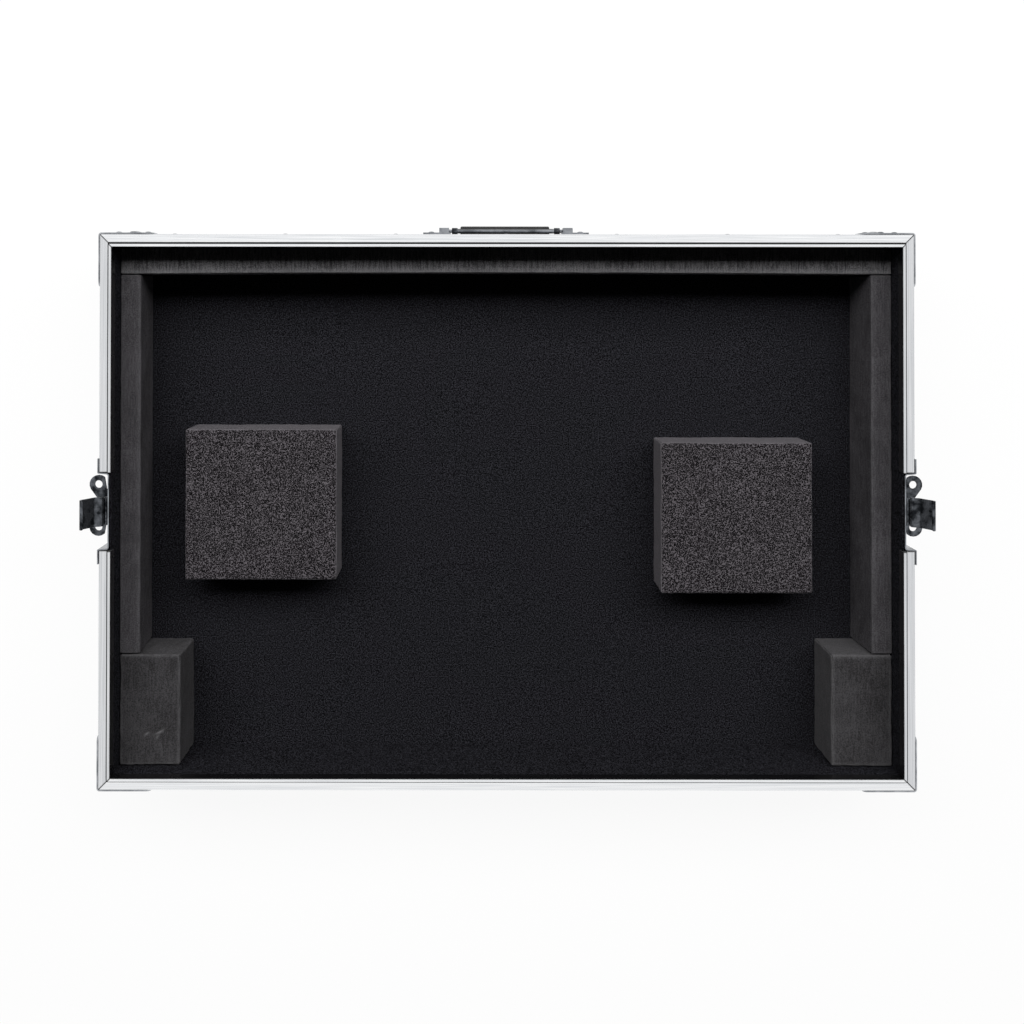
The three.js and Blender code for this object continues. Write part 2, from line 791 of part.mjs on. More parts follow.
// The wing stands out level from the rotor: two lobes with a hole each, and barrels on the pin.
function latchWing() {
  const right = wingHalfOutline(1);
  const left = wingHalfOutline(-1).reverse();
  const outline = [...right, ...left].map(([x, y]) => new THREE.Vector2(x, y));
  const plate = extruded(new THREE.Shape(outline), wingSheet);
  plate.translate(0, 0, -wingSheet / 2);
  plate.rotateZ(-Math.PI / 2);
  const lobePlace = wingSpan / 2 - wingLobeRadius;
  const start = hubLength / 2 + fitGap;
  const added = [];
  const removed = [bar("y", pinRadius + fitGap, -wingSpan, wingSpan, pinSides)];
  for (const side of [-1, 1]) {
    const [low, high] = side > 0 ? [start, wingBaseHalf] : [-wingBaseHalf, -start];
    added.push(bar("y", wingBarrelRadius, low, high, pinSides));
    const hole = bar("z", wingHoleRadius, -overrun, overrun, wingSides);
    removed.push(hole.translate(wingLobeOut, side * lobePlace, 0));
  }
  const wing = cutFrom(joined(plate, ...added), ...removed);
  return wing.translate(wingHingeOut, 0, -rotorDrop);
}

function addLatch(group, name) {
  const [x, y, quarters] = sidePlaces[name];
  const frame = frameAt(group, x, y, rimTop, quarters);
  addPiece(frame, name + "_latch_dish", latchDish(), finishes.plated);
  addPiece(frame, name + "_latch_rotor", latchRotor(), finishes.plated);
  addPiece(frame, name + "_latch_draw_plate", latchDrawPlate(), finishes.plated);
  addPiece(frame, name + "_latch_hook", latchHook(), finishes.plated);
  addPiece(frame, name + "_latch_wing", latchWing(), finishes.plated);
  const hookPinHalf = drawPlateLength / 2;
  const hookPin = bar("y", pinRadius, -hookPinHalf, hookPinHalf, pinSides);
  hookPin.translate(hookHingeOut, 0, -hookHingeDrop);
  addPiece(frame, name + "_hook_pin", hookPin, finishes.plated);
  const wingPin = bar("y", pinRadius, -wingBaseHalf, wingBaseHalf, pinSides);
  wingPin.translate(wingHingeOut, 0, -rotorDrop);
  addPiece(frame, name + "_wing_pin", wingPin, finishes.plated);
}

// The handle's pressed plate: a pad and a boss at each end hold the axle.
function handlePlate() {
  const back = fitGap - panelOuter;
  const outline = roundedRectangle(handleLength, handlePlateHeight, handleRound);
  const plate = extruded(outline, handleFace - back);
  plate.rotateX(Math.PI / 2);
  plate.rotateZ(Math.PI / 2);
  plate.translate(back, 0, 0);
  const pieces = [plate];
  const padTop = handlePlateHeight / 2;
  for (const side of [-1, 1]) {
    const [low, high] = [handleLength / 2 - endPadLength, handleLength / 2 - endPadMargin];
    const [start, end] = side > 0 ? [low, high] : [-high, -low];
    const pad = block(
      [back, start, padTop - endPadHeight],
      [endPadLift, end, padTop - endPadTopMargin],
    );
    pieces.push(pad);
    const section = new THREE.Shape();
    section.moveTo(back, axleRise - bossHeight / 2);
    section.lineTo(bossLift - bossChamfer, axleRise - bossHeight / 2);
    section.lineTo(bossLift, axleRise - bossHeight / 2 + bossChamfer);
    section.lineTo(bossLift, axleRise + bossHeight / 2 - bossChamfer);
    section.lineTo(bossLift - bossChamfer, axleRise + bossHeight / 2);
    section.lineTo(back, axleRise + bossHeight / 2);
    const boss = extruded(section, bossLength).rotateX(Math.PI / 2);
    pieces.push(boss.translate(0, side * bossPlace + bossLength / 2, 0));
    const rivetPlace = handleLength / 2 - endPadRivetShare * endPadLength;
    pieces.push(rivetHead(endPadLift, side * rivetPlace, axleRise));
    pieces.push(rivetHead(handleFace, side * rivetPlace, -axleRise));
  }
  const reach = bossPlace + bossLength / 2 - bossEndWall;
  const bore = bar("y", axleRadius + fitGap, -reach, reach, axleSides);
  bore.translate(axleLift, 0, axleRise);
  return cutFrom(joined(...pieces), bore);
}

// The bail's line, from one eye down, across behind the grip and up to the other eye. It leans
// out a little, so that the grip clears the plate.
function bailPath() {
  const lean = gripLift - axleLift;
  const at = (y, drop) => new THREE.Vector3(axleLift + (lean * drop) / bailDrop, y, axleRise - drop);
  const start = bailEyeRadius - bailRadius / 2;
  const path = new THREE.CurvePath();
  const turn = (side) =>
    new THREE.QuadraticBezierCurve3(
      at(side * bailHalf, bailDrop - bailCorner),
      at(side * bailHalf, bailDrop),
      at(side * (bailHalf - bailCorner), bailDrop),
    );
  const [first, last] = [turn(-1), turn(1)];
  const back = new THREE.QuadraticBezierCurve3(last.v2, last.v1, last.v0);
  path.add(new THREE.LineCurve3(at(-bailHalf, start), first.v0));
  path.add(first);
  path.add(new THREE.LineCurve3(first.v2, last.v2));
  path.add(back);
  path.add(new THREE.LineCurve3(last.v0, at(bailHalf, start)));
  return path;
}

function ring(radius, sides) {
  const shape = new THREE.Shape();
  for (let i = 0; i < sides; i += 1) {
    const angle = (i / sides) * Math.PI * 2;
    const [x, y] = [radius * Math.cos(angle), radius * Math.sin(angle)];
    if (i === 0) shape.moveTo(x, y);
    else shape.lineTo(x, y);
  }
  return shape;
}

function handleBail() {
  const settings = { steps: bailSteps, extrudePath: bailPath(), bevelEnabled: false };
  const rod = new THREE.ExtrudeGeometry(ring(bailRadius, bailSides), settings);
  const pieces = [rod];
  const holes = [];
  for (const side of [-1, 1]) {
    const low = side * bailHalf - bailEyeLength / 2;
    const high = side * bailHalf + bailEyeLength / 2;
    pieces.push(bar("y", bailEyeRadius, low, high, axleSides).translate(axleLift, 0, axleRise));
    const hole = bar("y", axleRadius + fitGap, low - overrun, high + overrun, axleSides);
    holes.push(hole.translate(axleLift, 0, axleRise));
  }
  return cutFrom(joined(...pieces), ...holes);
}

function handleGrip() {
  const half = gripLength / 2;
  const sleeve = bar("y", gripRadius, -half, half, gripSides);
  const bore = bar("y", bailRadius + fitGap, -half - overrun, half + overrun, gripSides);
  return cutFrom(sleeve, bore).translate(gripLift, 0, axleRise - bailDrop);
}

function addHandle(group) {
  const [x, y, quarters] = sidePlaces.front;
  const frame = frameAt(group, x, y, handleCentreHeight, quarters);
  addPiece(frame, "handle_plate", handlePlate(), finishes.plated);
  addPiece(frame, "handle_bail", handleBail(), finishes.plated);
  addPiece(frame, "handle_grip", handleGrip(), finishes.rubber);
  const reach = bossPlace + bossLength / 2 - bossEndWall - fitGap;
  const axle = bar("y", axleRadius, -reach, reach, axleSides);
  addPiece(frame, "handle_axle", axle.translate(axleLift, 0, axleRise), finishes.plated);
}

const flightCase = new THREE.Group();
flightCase.position.y = centring;
addPanels(flightCase);
addRim(flightCase);
addEdgeAngles(flightCase);
addCorners(flightCase);
addLining(flightCase);
addFoam(flightCase);
addFeet(flightCase);
addLatch(flightCase, "left");
addLatch(flightCase, "right");
addHandle(flightCase);

export default flightCase;
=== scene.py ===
# %% [markdown]
# The latch half of a flight case for a dj controller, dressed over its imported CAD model.
# The case is a shallow tray: laminated plywood panels held in aluminium edging, lined with
# black foam sheet and fitted with blocks of charcoal foam. The CAD model already holds every
# size and every moving piece, so this file adds finish, soft edges and pressed or cut shapes.

import bmesh
import bpy
import numpy as np
from mathutils import Euler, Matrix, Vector


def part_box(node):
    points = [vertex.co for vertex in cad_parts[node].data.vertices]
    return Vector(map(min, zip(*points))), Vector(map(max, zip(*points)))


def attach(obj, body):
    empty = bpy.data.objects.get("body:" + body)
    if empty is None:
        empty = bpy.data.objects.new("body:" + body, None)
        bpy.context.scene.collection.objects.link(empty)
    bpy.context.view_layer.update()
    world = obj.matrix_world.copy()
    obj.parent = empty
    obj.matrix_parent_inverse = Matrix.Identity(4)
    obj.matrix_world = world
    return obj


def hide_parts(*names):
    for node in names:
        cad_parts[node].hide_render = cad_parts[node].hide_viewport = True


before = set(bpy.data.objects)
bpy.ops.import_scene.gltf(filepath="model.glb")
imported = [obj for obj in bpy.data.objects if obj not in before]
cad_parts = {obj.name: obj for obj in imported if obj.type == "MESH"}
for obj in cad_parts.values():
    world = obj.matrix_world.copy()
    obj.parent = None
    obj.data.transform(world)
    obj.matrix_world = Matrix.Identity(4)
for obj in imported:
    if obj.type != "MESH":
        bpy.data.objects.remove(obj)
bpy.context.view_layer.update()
MM = 0.001

# %% [markdown]
# The photograph looks straight down into the tray. A camera that looks squarely at a flat thing
# keeps its edges parallel, and the picture is then framed by sliding the lens and not by turning
# the camera. The place, turn and lens were worked out from the pixels of the rim's corners, the
# foam's edges and the floor. The sideways slide is kept small, so that other views are framed well.

# %% Camera
PHOTO_SIZE = 1024
SENSOR = 36
LENS = 38.78
CAMERA_PLACE = (0.0352, -0.2104, 1.2211)
CAMERA_TURN = (0.496, 0.046, -179.955)
UPRIGHTS_MEET = (471, 290.7)


def new_object(name, data):
    """An object that holds the given data, in the scene's own collection."""
    thing = bpy.data.objects.new(name, data)
    bpy.context.scene.collection.objects.link(thing)
    return thing


camera = new_object("camera", bpy.data.cameras.new("camera"))
camera.location = CAMERA_PLACE
camera.rotation_euler = Euler(np.radians(CAMERA_TURN))
camera.data.sensor_width = SENSOR
camera.data.lens = LENS
camera.data.shift_x = 0.5 - UPRIGHTS_MEET[0] / PHOTO_SIZE
camera.data.shift_y = UPRIGHTS_MEET[1] / PHOTO_SIZE - 0.5
bpy.context.scene.camera = camera
bpy.context.scene.view_settings.view_transform = "Standard"
print("lens slide:", round(camera.data.shift_x, 3), round(camera.data.shift_y, 3))

# %% [markdown]
# Every finish below is a small tree of shader nodes. Colours are written as sRGB hex values, the
# way a paint chart gives them, and turned to linear light once. One function adds a node of any
# kind with its settings, its constants and its links, and gives back the node's output. Sockets
# are named by their identifiers, which stay unique where a node has two inputs of one name. Each
# finish then turns a pattern into a colour between two tones.

# %% Colour and node helpers
WEAR_AND_LIGHT_ATTRIBUTE = "wear"


def linear(colour):
    """Linear light of an sRGB hex colour: low values over 12.92, the rest by a power curve."""
    share = np.array([int(colour[i:i + 2], 16) for i in (1, 3, 5)]) / 255
    light = np.where(share <= 0.04045, share / 12.92, ((share + 0.055) / 1.055) ** 2.4)
    return (*light, 1.0)


def add(tree, kind, links=None, values=None, output=None, **settings):
    """Adds a shader node of a kind: settings are its own, values are constants for its inputs,
    and links are the sources of its inputs."""
    node = tree.nodes.new("ShaderNode" + kind)
    for name, value in settings.items():
        setattr(node, name, value)
    sockets = {socket.identifier: socket for socket in node.inputs}
    for name, value in (values or {}).items():
        sockets[name].default_value = value
    for name, source in (links or {}).items():
        tree.links.new(source, sockets[name])
    if output:
        return node.outputs[output]
    return next(socket for socket in node.outputs if socket.enabled)


def start(name):
    """A new material, its node tree and its Object coordinates."""
    material = bpy.data.materials.new(name)
    material.use_nodes = True
    tree = material.node_tree
    return material, tree, add(tree, "TexCoord", output="Object")


def coloured(tree, pattern, low, high, dark, pale, wear_and_painted_light_tone=None):
    """Dark where the pattern is below low, pale above high, a mix between them. Where the attribute
    for wear and painted light is 1, the colour is that attribute's tone instead: wear and grime,
    and painted shade and painted highlights where a piece sets it for them."""
    share = add(tree, "MapRange", {"Value": pattern}, {"From Min": low, "From Max": high})
    tones = {"A_Color": linear(dark), "B_Color": linear(pale)}
    colour = add(tree, "Mix", {"Factor_Float": share}, tones, data_type="RGBA")
    if wear_and_painted_light_tone is None:
        return colour
    wear = add(tree, "Attribute", output="Fac", attribute_name=WEAR_AND_LIGHT_ATTRIBUTE)
    fresh = {"Factor_Float": wear, "A_Color": colour}
    return add(tree, "Mix", fresh, {"B_Color": linear(wear_and_painted_light_tone)}, data_type="RGBA")


def finish(material, constants, *reliefs, **sources):
    """Feeds the shader: constants are set on its own sockets, and sources are linked to theirs.
    A relief is a pattern, its depth in mm and its strength. Each lies on the one before."""
    tree = material.node_tree
    sockets = tree.nodes["Principled BSDF"].inputs
    for name, value in constants.items():
        sockets[name].default_value = value
    normal = {}
    for pattern, depth, strength in reliefs:
        bump = {"Distance": depth * MM, "Strength": strength}
        normal = {"Normal": add(tree, "Bump", {"Height": pattern, **normal}, bump)}
    for name, source in {**sources, **normal}.items():
        tree.links.new(source, sockets[name.replace("_", " ")])
    print("finish:", material.name)
    return material


# %% [markdown]
# The edging is aluminium pushed through a die, which leaves fine straight lines along each bar.
# Clear anodising then gives a pale satin metal with no colour of its own. The lines are noise
# squeezed along the bar, and broad smudges from handling vary the roughness. Object coordinates
# are metres, so a feature of so many millimetres needs a scale of one over its size in metres.
# Mitres gather grime. The groove and the lip's inner face are painted dark as well, which is
# painted shade and painted dark reflection. Each bar's attribute for wear and painted light is up
# to 1 at these places and 0 elsewhere. It darkens the metal and makes it less of a metal, because
# grime is none. The foam uses the same attribute where it is torn or rubbed, and for painted
# highlights. The two sides' bars have greyer tones, which is painted shade.

# %% Anodised aluminium
DIE_LINE = 0.9 * MM
SMUDGE = 45 * MM
ALONG_BAR = 0.012
LONG_BAR = "#d9dbde", "#f2f3f4"
# The bars along y, on the two sides, get greyer tones than the others. This is painted shade, which
# makes the same metal darker on the sides than at the front and rear.
BAR_TONES_WITH_PAINTED_SIDE_SHADE = {"x": LONG_BAR, "y": ("#c4c6c9", "#dbdcde"), "z": LONG_BAR}


def anodised_aluminium(axis):
    """Extruded, clear anodised aluminium: die lines 0.9 mm wide run along one axis."""
    material, tree, place = start("anodised_aluminium_extruded_along_" + axis)
    stretch = {"Scale": [ALONG_BAR if axis == name else 1.0 for name in "xyz"]}
    along = add(tree, "Mapping", {"Vector": place}, stretch)
    lines = add(tree, "TexNoise", {"Vector": along}, {"Scale": 1 / DIE_LINE, "Detail": 2})
    smudges = add(tree, "TexNoise", {"Vector": place}, {"Scale": 1 / SMUDGE, "Detail": 4})
    # The dark tone #0d0d0e is grime at the mitres, and painted shade and painted dark reflection in
    # the groove and on the lip.
    colour = coloured(tree, lines, 0.3, 0.7, *BAR_TONES_WITH_PAINTED_SIDE_SHADE[axis], wear_and_painted_light_tone="#0d0d0e")
    satin = {"From Min": 0.35, "From Max": 0.65, "To Min": 0.2, "To Max": 0.3}
    roughness = add(tree, "MapRange", {"Value": smudges}, satin)
    grime_and_shade = add(tree, "Attribute", output="Fac", attribute_name=WEAR_AND_LIGHT_ATTRIBUTE)
    bare = add(tree, "Math", {"Value_001": grime_and_shade}, {"Value": 1}, operation="SUBTRACT")
    sources = {"Base_Color": colour, "Metallic": bare, "Roughness": roughness}
    return finish(material, {}, (lines, 0.02, 0.5), **sources)


aluminium = {axis: anodised_aluminium(axis) for axis in "xyz"}

# %% [markdown]
# The braces, ball corners, latches and handle are pressed from sheet steel, then zinc plated.
# Plating follows the sheet, so it is smoother than the aluminium, with a hint of blue, small
# marks from tumbling in a drum, and cloudy patches where the bath left it duller and darker.
# The moving parts are painted darker, which is painted dark reflection, and their smaller bright
# spots are painted glints.

# %% Zinc plated steel
TUMBLE_MARK = 1.6 * MM
BATH_CLOUD = 18 * MM
PAINTED_GLINT_SPOT = 8 * MM


def zinc_plated_steel(name, dark, pale, cloud_and_glint_size=BATH_CLOUD):
    """Pressed and zinc plated steel: bluish metal, cloudy patches, which on the dark copy are
    painted glints, faint dents from tumbling.
    """
    material, tree, place = start(name)
    fine = {"Scale": 1 / TUMBLE_MARK, "Detail": 4, "Roughness": 0.65}
    marks = add(tree, "TexNoise", {"Vector": place}, fine)
    broad = {"Scale": 1 / cloud_and_glint_size, "Detail": 5, "Roughness": 0.6}
    clouds_and_glints = add(tree, "TexNoise", {"Vector": place}, broad)
    colour = coloured(tree, clouds_and_glints, 0.38, 0.62, dark, pale)
    bright = {"From Min": 0.35, "From Max": 0.65, "To Min": 0.32, "To Max": 0.16}
    roughness = add(tree, "MapRange", {"Value": clouds_and_glints}, bright)
    sources = {"Base_Color": colour, "Roughness": roughness}
    return finish(material, {"Metallic": 1.0}, (marks, 0.04, 0.6), **sources)


bright_steel = zinc_plated_steel("zinc_plated_pressed_steel_bright", "#85888c", "#b9bbbf")
plated_steel = zinc_plated_steel("zinc_plated_pressed_steel", "#5f6266", "#94979c")
# The latch and handle copy: its near-black tones are painted dark reflection, and its small bright
# patches are painted glints.
name = "zinc_plated_steel_rubbed_and_oiled"
steel_painted_with_dark_reflection = zinc_plated_steel(name, "#191b1e", "#606368", PAINTED_GLINT_SPOT)

# %% [markdown]
# The panels are plywood faced with a black plastic laminate that is embossed with small pebbles,
# so that scuffs don't show. Smooth Voronoi cells of about 1.3 mm give the pebbles, and a rougher
# noise gives the few paler scuffs that gather on a case that travels.

# %% Pebbled laminate
PEBBLE = 1.3 * MM
SCUFF = 9 * MM


def pebbled_laminate():
    """Black embossed laminate: rounded pebbles that catch a soft light, and a few pale scuffs."""
    material, tree, place = start("black_laminate_embossed_with_pebbles")
    pebble = {"Scale": 1 / PEBBLE, "Smoothness": 0.6}
    cells = add(tree, "TexVoronoi", {"Vector": place}, pebble, feature="SMOOTH_F1")
    scuffed = {"Scale": 1 / SCUFF, "Detail": 6, "Roughness": 0.7}
    scuffs = add(tree, "TexNoise", {"Vector": place}, scuffed)
    colour = coloured(tree, scuffs, 0.55, 0.8, "#101114", "#2a2b2f")
    dull = {"From Min": 0.4, "From Max": 0.7, "To Min": 0.36, "To Max": 0.6}
    roughness = add(tree, "MapRange", {"Value": scuffs}, dull)
    return finish(material, {}, (cells, -0.25, 0.8), Base_Color=colour, Roughness=roughness)


laminate = pebbled_laminate()

# %% [markdown]
# The lining is closed-cell foam sheet, a few millimetres thick and nearly black. Its skin is
# finely pitted, and each pit catches a little cool light. That light is painted into the colour as
# painted highlight, so close up it shows as a dark ground with small blue-grey specks. The real
# pits are about half a millimetre wide. They are drawn 1.3 mm wide, the finest that the picture
# can hold. A skin full of pores mirrors next to nothing, so the specular level of every foam here
# is close to 0.

# %% Closed-cell foam sheet
PIT = 1.3 * MM
MATT = {"Roughness": 0.95, "Specular IOR Level": 0.02}


def closed_cell_sheet():
    """Black foam sheet: dark and dull, with faint cool specks, painted highlights of the pits, over
    a pitted skin.
    """
    material, tree, place = start("closed_cell_foam_sheet_with_pitted_skin")
    pitted = {"Scale": 1 / PIT, "Detail": 2, "Roughness": 0.75}
    pits = add(tree, "TexNoise", {"Vector": place}, pitted)
    colour = coloured(tree, pits, 0.43, 0.64, "#070708", "#323237")
    return finish(material, MATT, (pits, 0.4, 0.6), Base_Color=colour)


sheet_foam = closed_cell_sheet()

# %% [markdown]
# The strips and corner blocks are dense polyethylene foam cut with a band saw. The cut face is
# matt charcoal with fine lines that all run from front to rear, the way the block went past the
# blade. Three noises are multiplied: the saw lines, very fine cells, and broad patches where the
# blade pressed harder. Where the foam was torn or rubbed, its broken cells are much paler, and the
# same pale tone paints the highlights on the front strip's edges and in the nicks. Lines
# and cells are drawn 1.1 to 1.5 mm wide, a little coarser than real, so that they show.

# %% Sawn foam
SAW_LINE = 1.5 * MM
FINE_CELL = 1.1 * MM
PRESSED_PATCH = 40 * MM
ALONG_SAW = 0.1


def sawn_foam(name, dark, pale, line_share):
    """Dense charcoal foam: saw lines from front to rear over a ground of very fine cells."""
    material, tree, place = start(name)
    stretch = {"Scale": (1, ALONG_SAW, 1)}
    along = add(tree, "Mapping", {"Vector": place}, stretch)
    sawn = {"Scale": 1 / SAW_LINE, "Detail": 3, "Roughness": 0.6}
    lines = add(tree, "TexNoise", {"Vector": along}, sawn)
    celled = {"Scale": 1 / FINE_CELL, "Detail": 2, "Roughness": 0.7}
    cells = add(tree, "TexNoise", {"Vector": place}, celled)
    leaned = {"Scale": 1 / PRESSED_PATCH, "Detail": 4, "Roughness": 0.6}
    broad = add(tree, "TexNoise", {"Vector": place}, leaned)
    faint = {"From Min": 0.3, "From Max": 0.7, "To Min": 0.42, "To Max": 0.58}
    patches = add(tree, "MapRange", {"Value": broad}, faint)
    weaker = {"From Min": 0, "From Max": 1, "To Min": 0.5 - line_share, "To Max": 0.5 + line_share}
    grain = add(tree, "MapRange", {"Value": lines}, weaker)
    for other in (cells, patches):
        both = {"Value": grain, "Value_001": other}
        grain = add(tree, "Math", both, operation="MULTIPLY")
    # The pale tone #8a898b is torn and rubbed cells, and the painted highlight on the front strip's
    # edges and in the nicks.
    colour = coloured(tree, grain, 0.09, 0.16, dark, pale, wear_and_painted_light_tone="#8a898b")
    reliefs = (lines, 0.5, line_share), (cells, 0.3, 0.5)
    return finish(material, MATT, *reliefs, Base_Color=colour)


front_foam = sawn_foam("dense_foam_band_sawn_across", "#39383a", "#737274", 0.4)
side_foam = sawn_foam("dense_foam_band_sawn_along", "#323133", "#4f4d50", 0.25)
block_foam = sawn_foam("dense_foam_band_sawn_block", "#2a292a", "#454446", 0.22)

# %% [markdown]
# The pads are softer open-cell foam. The knife opens every cell that it meets, and each opened
# cell is a dark hole between paler struts. Voronoi cells give the holes, and a fine noise breaks
# them up. The cells of such foam are 1 to 2 mm wide, which the picture can just hold. The upright
# faces were sawn in the factory, which closed their cells, so they are smoother and paler.

# %% Open-cell foam
OPEN_CELL = 1.2 * MM
STRUT = 0.9 * MM


def open_cell_foam():
    """Soft charcoal foam cut open: pale struts round dark cells of many sizes."""
    material, tree, place = start("open_cell_foam_cut_with_a_knife")
    opened = {"Scale": 1 / OPEN_CELL, "Randomness": 1.0}
    cells = add(tree, "TexVoronoi", {"Vector": place}, opened)
    strutted = {"Scale": 1 / STRUT, "Detail": 3, "Roughness": 0.75}
    struts = add(tree, "TexNoise", {"Vector": place}, strutted)
    both = {"Value": cells, "Value_001": struts}
    pores = add(tree, "Math", both, operation="MULTIPLY")
    # The tone #706d71 is the closed skin of the upright faces, painted paler as light.
    colour = coloured(tree, pores, 0.22, 0.38, "#0e0d0e", "#615d61", wear_and_painted_light_tone="#706d71")
    return finish(material, MATT, (pores, 0.9, 0.7), Base_Color=colour)


pad_foam = open_cell_foam()

# %% [markdown]
# The grip and the feet are moulded rubber: black and dull, with the faint grain of the mould and
# a little dust, which is what keeps real rubber from looking like a hole in the picture.

# %% Moulded rubber
MOULD_GRAIN = 0.8 * MM
DUST = 14 * MM


def moulded_rubber():
    """Black rubber: soft wide highlights, a fine mould grain and thin patches of dust."""
    material, tree, place = start("black_moulded_rubber")
    grained = {"Scale": 1 / MOULD_GRAIN, "Detail": 2}
    grain = add(tree, "TexNoise", {"Vector": place}, grained)
    dusty = {"Scale": 1 / DUST, "Detail": 5, "Roughness": 0.7}
    dust = add(tree, "TexNoise", {"Vector": place}, dusty)
    colour = coloured(tree, dust, 0.4, 0.75, "#161617", "#2c2c2b")
    dull = {"From Min": 0.35, "From Max": 0.7, "To Min": 0.5, "To Max": 0.75}
    roughness = add(tree, "MapRange", {"Value": dust}, dull)
    return finish(material, {}, (grain, 0.05, 0.5), Base_Color=colour, Roughness=roughness)


rubber = moulded_rubber()

# %% [markdown]
# CAD pieces that already have their real shape keep it and only take a finish: the panels, the
# pins and the axle. The rest are covered too, so that no piece is bare if its stand-in is removed.

# %% Finishes for the CAD pieces
def finish_for(node):
    """The material of a CAD node, from what its name says that it is."""
    if node.endswith("corner_angle"):
        return aluminium["z"]
    if node.endswith(("rim_extrusion", "bottom_angle")):
        return aluminium["x" if node.startswith(("front_", "rear_")) else "y"]
    if node.endswith(("wall", "panel")):
        return laminate
    if "lining" in node:
        return sheet_foam
    if "foam" in node:
        return block_foam
    return rubber if node.endswith(("foot", "grip")) else plated_steel


for node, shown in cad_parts.items():
    shown.data.materials.clear()
    shown.data.materials.append(finish_for(node))
print("CAD pieces finished:", len(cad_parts))

# %% [markdown]
# New pieces are surfaces worked out with numpy in millimetres. A surface is a grid of points, a
# function of two parameters, and the quads between neighbouring points. Where a grid shrinks to
# a point or meets another grid, the doubled points are merged, which closes the seam. An open
# sheet is turned to face outwards before a Solidify modifier gives it its wall.

# %% Surfaces as arrays
def quads(rows, columns, close_rows=False, close_columns=False):
    """Corner numbers of the quads of a grid that is numbered row by row."""
    i = np.arange(rows if close_rows else rows - 1)[:, None]
    j = np.arange(columns if close_columns else columns - 1)[None, :]
    below, beside = (i + 1) % rows, (j + 1) % columns
    corners = (i * columns + j, i * columns + beside, below * columns + beside, below * columns + j)
    return np.stack(np.broadcast_arrays(*corners), axis=-1).reshape(-1, 4)


def grid(x, y, z, **closed):
    """The surface of a grid whose three coordinates are arrays of rows, of columns or of both."""
    points = np.stack(np.broadcast_arrays(x, y, z), axis=-1)
    return points.reshape(-1, 3), quads(*points.shape[:2], **closed)


def unit(vectors):
    """The same directions, each one long."""
    return vectors / np.linalg.norm(vectors, axis=-1, keepdims=True)


def together(surfaces):
    """Several surfaces as one: the points follow each other, and face numbers are moved along."""
    starts = np.cumsum([0] + [len(points) for points, _ in surfaces])
    points = np.concatenate([points for points, _ in surfaces])
    faces = np.concatenate([faces + first for (_, faces), first in zip(surfaces, starts)])
    return points, faces


def box_mm(node):
    """The low and high corner of a CAD node in millimetres."""
    return np.array(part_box(node)) / MM


# %% From arrays to a finished piece
MERGE = 0.004 * MM
FLAT_WITHIN = np.radians(1)
SMOOTH_UP_TO = np.radians(40)
BEVEL_FROM = np.radians(35)


def clean(mesh, towards=None, fill=False, join=False):
    """Merges doubles, fills open ends or joins the triangles of flat faces, and turns faces out,
    or for a sheet towards a direction."""
    work = bmesh.new()
    work.from_mesh(mesh)
    bmesh.ops.remove_doubles(work, verts=work.verts, dist=MERGE)
    if fill:
        bmesh.ops.holes_fill(work, edges=work.edges)
    if join:
        flat = {"verts": work.verts, "edges": work.edges}
        bmesh.ops.dissolve_limit(work, angle_limit=FLAT_WITHIN, **flat)
    bmesh.ops.recalc_face_normals(work, faces=work.faces)
    if towards is not None:
        area = sum((face.normal * face.calc_area() for face in work.faces), Vector())
        if area.dot(Vector(towards)) < 0:
            bmesh.ops.reverse_faces(work, faces=work.faces)
    work.to_mesh(mesh)
    work.free()


def piece_of(mesh, material, body, slot, node=None, sheet=None, bevel=None):
    """A mesh as a piece of a body, which stands for a CAD node. In mm, sheet is its wall, and
    bevel the radius of every edge that is sharper than 35 degrees."""
    mesh.materials.clear()
    mesh.materials.append(material)
    piece = new_object(mesh.name, mesh)
    if sheet:
        wall = piece.modifiers.new("wall", "SOLIDIFY")
        wall.thickness, wall.offset, wall.use_even_offset = sheet * MM, -1, True
    if bevel:
        edge = piece.modifiers.new("edge", "BEVEL")
        edge.width, edge.segments = bevel * MM, 2
        edge.limit_method, edge.angle_limit = "ANGLE", BEVEL_FROM
        edge.harden_normals = True
    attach(piece, body)
    if node:
        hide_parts(node)
    print(mesh.name, "has", len(mesh.polygons), "faces")
    return piece


def piece_from(name, surface, *look, towards=None, fill=False, wear=None, **more):
    """A surface in mm as a piece. An open one faces towards a direction, fill closes its ends,
    and the wear with painted light is how dirty or torn each point is, and how much painted shade
    and painted highlight it takes."""
    points, faces = surface
    mesh = bpy.data.meshes.new(name)
    mesh.from_pydata(points * MM, [], faces)
    if wear is not None:
        mesh.attributes.new(WEAR_AND_LIGHT_ATTRIBUTE, "FLOAT", "POINT").data.foreach_set("value", wear)
    clean(mesh, towards, fill)
    mesh.shade_smooth()
    mesh.set_sharp_from_angle(angle=SMOOTH_UP_TO)
    return piece_of(mesh, *look, **more)


# %% [markdown]
# Each side of the case has its own frame, in which the first axis points out of the case, the
# second runs along the wall and the third goes up. A shape is worked out once in that frame and
# turned to its side by quarter turns. At a corner, the first two axes both point out.

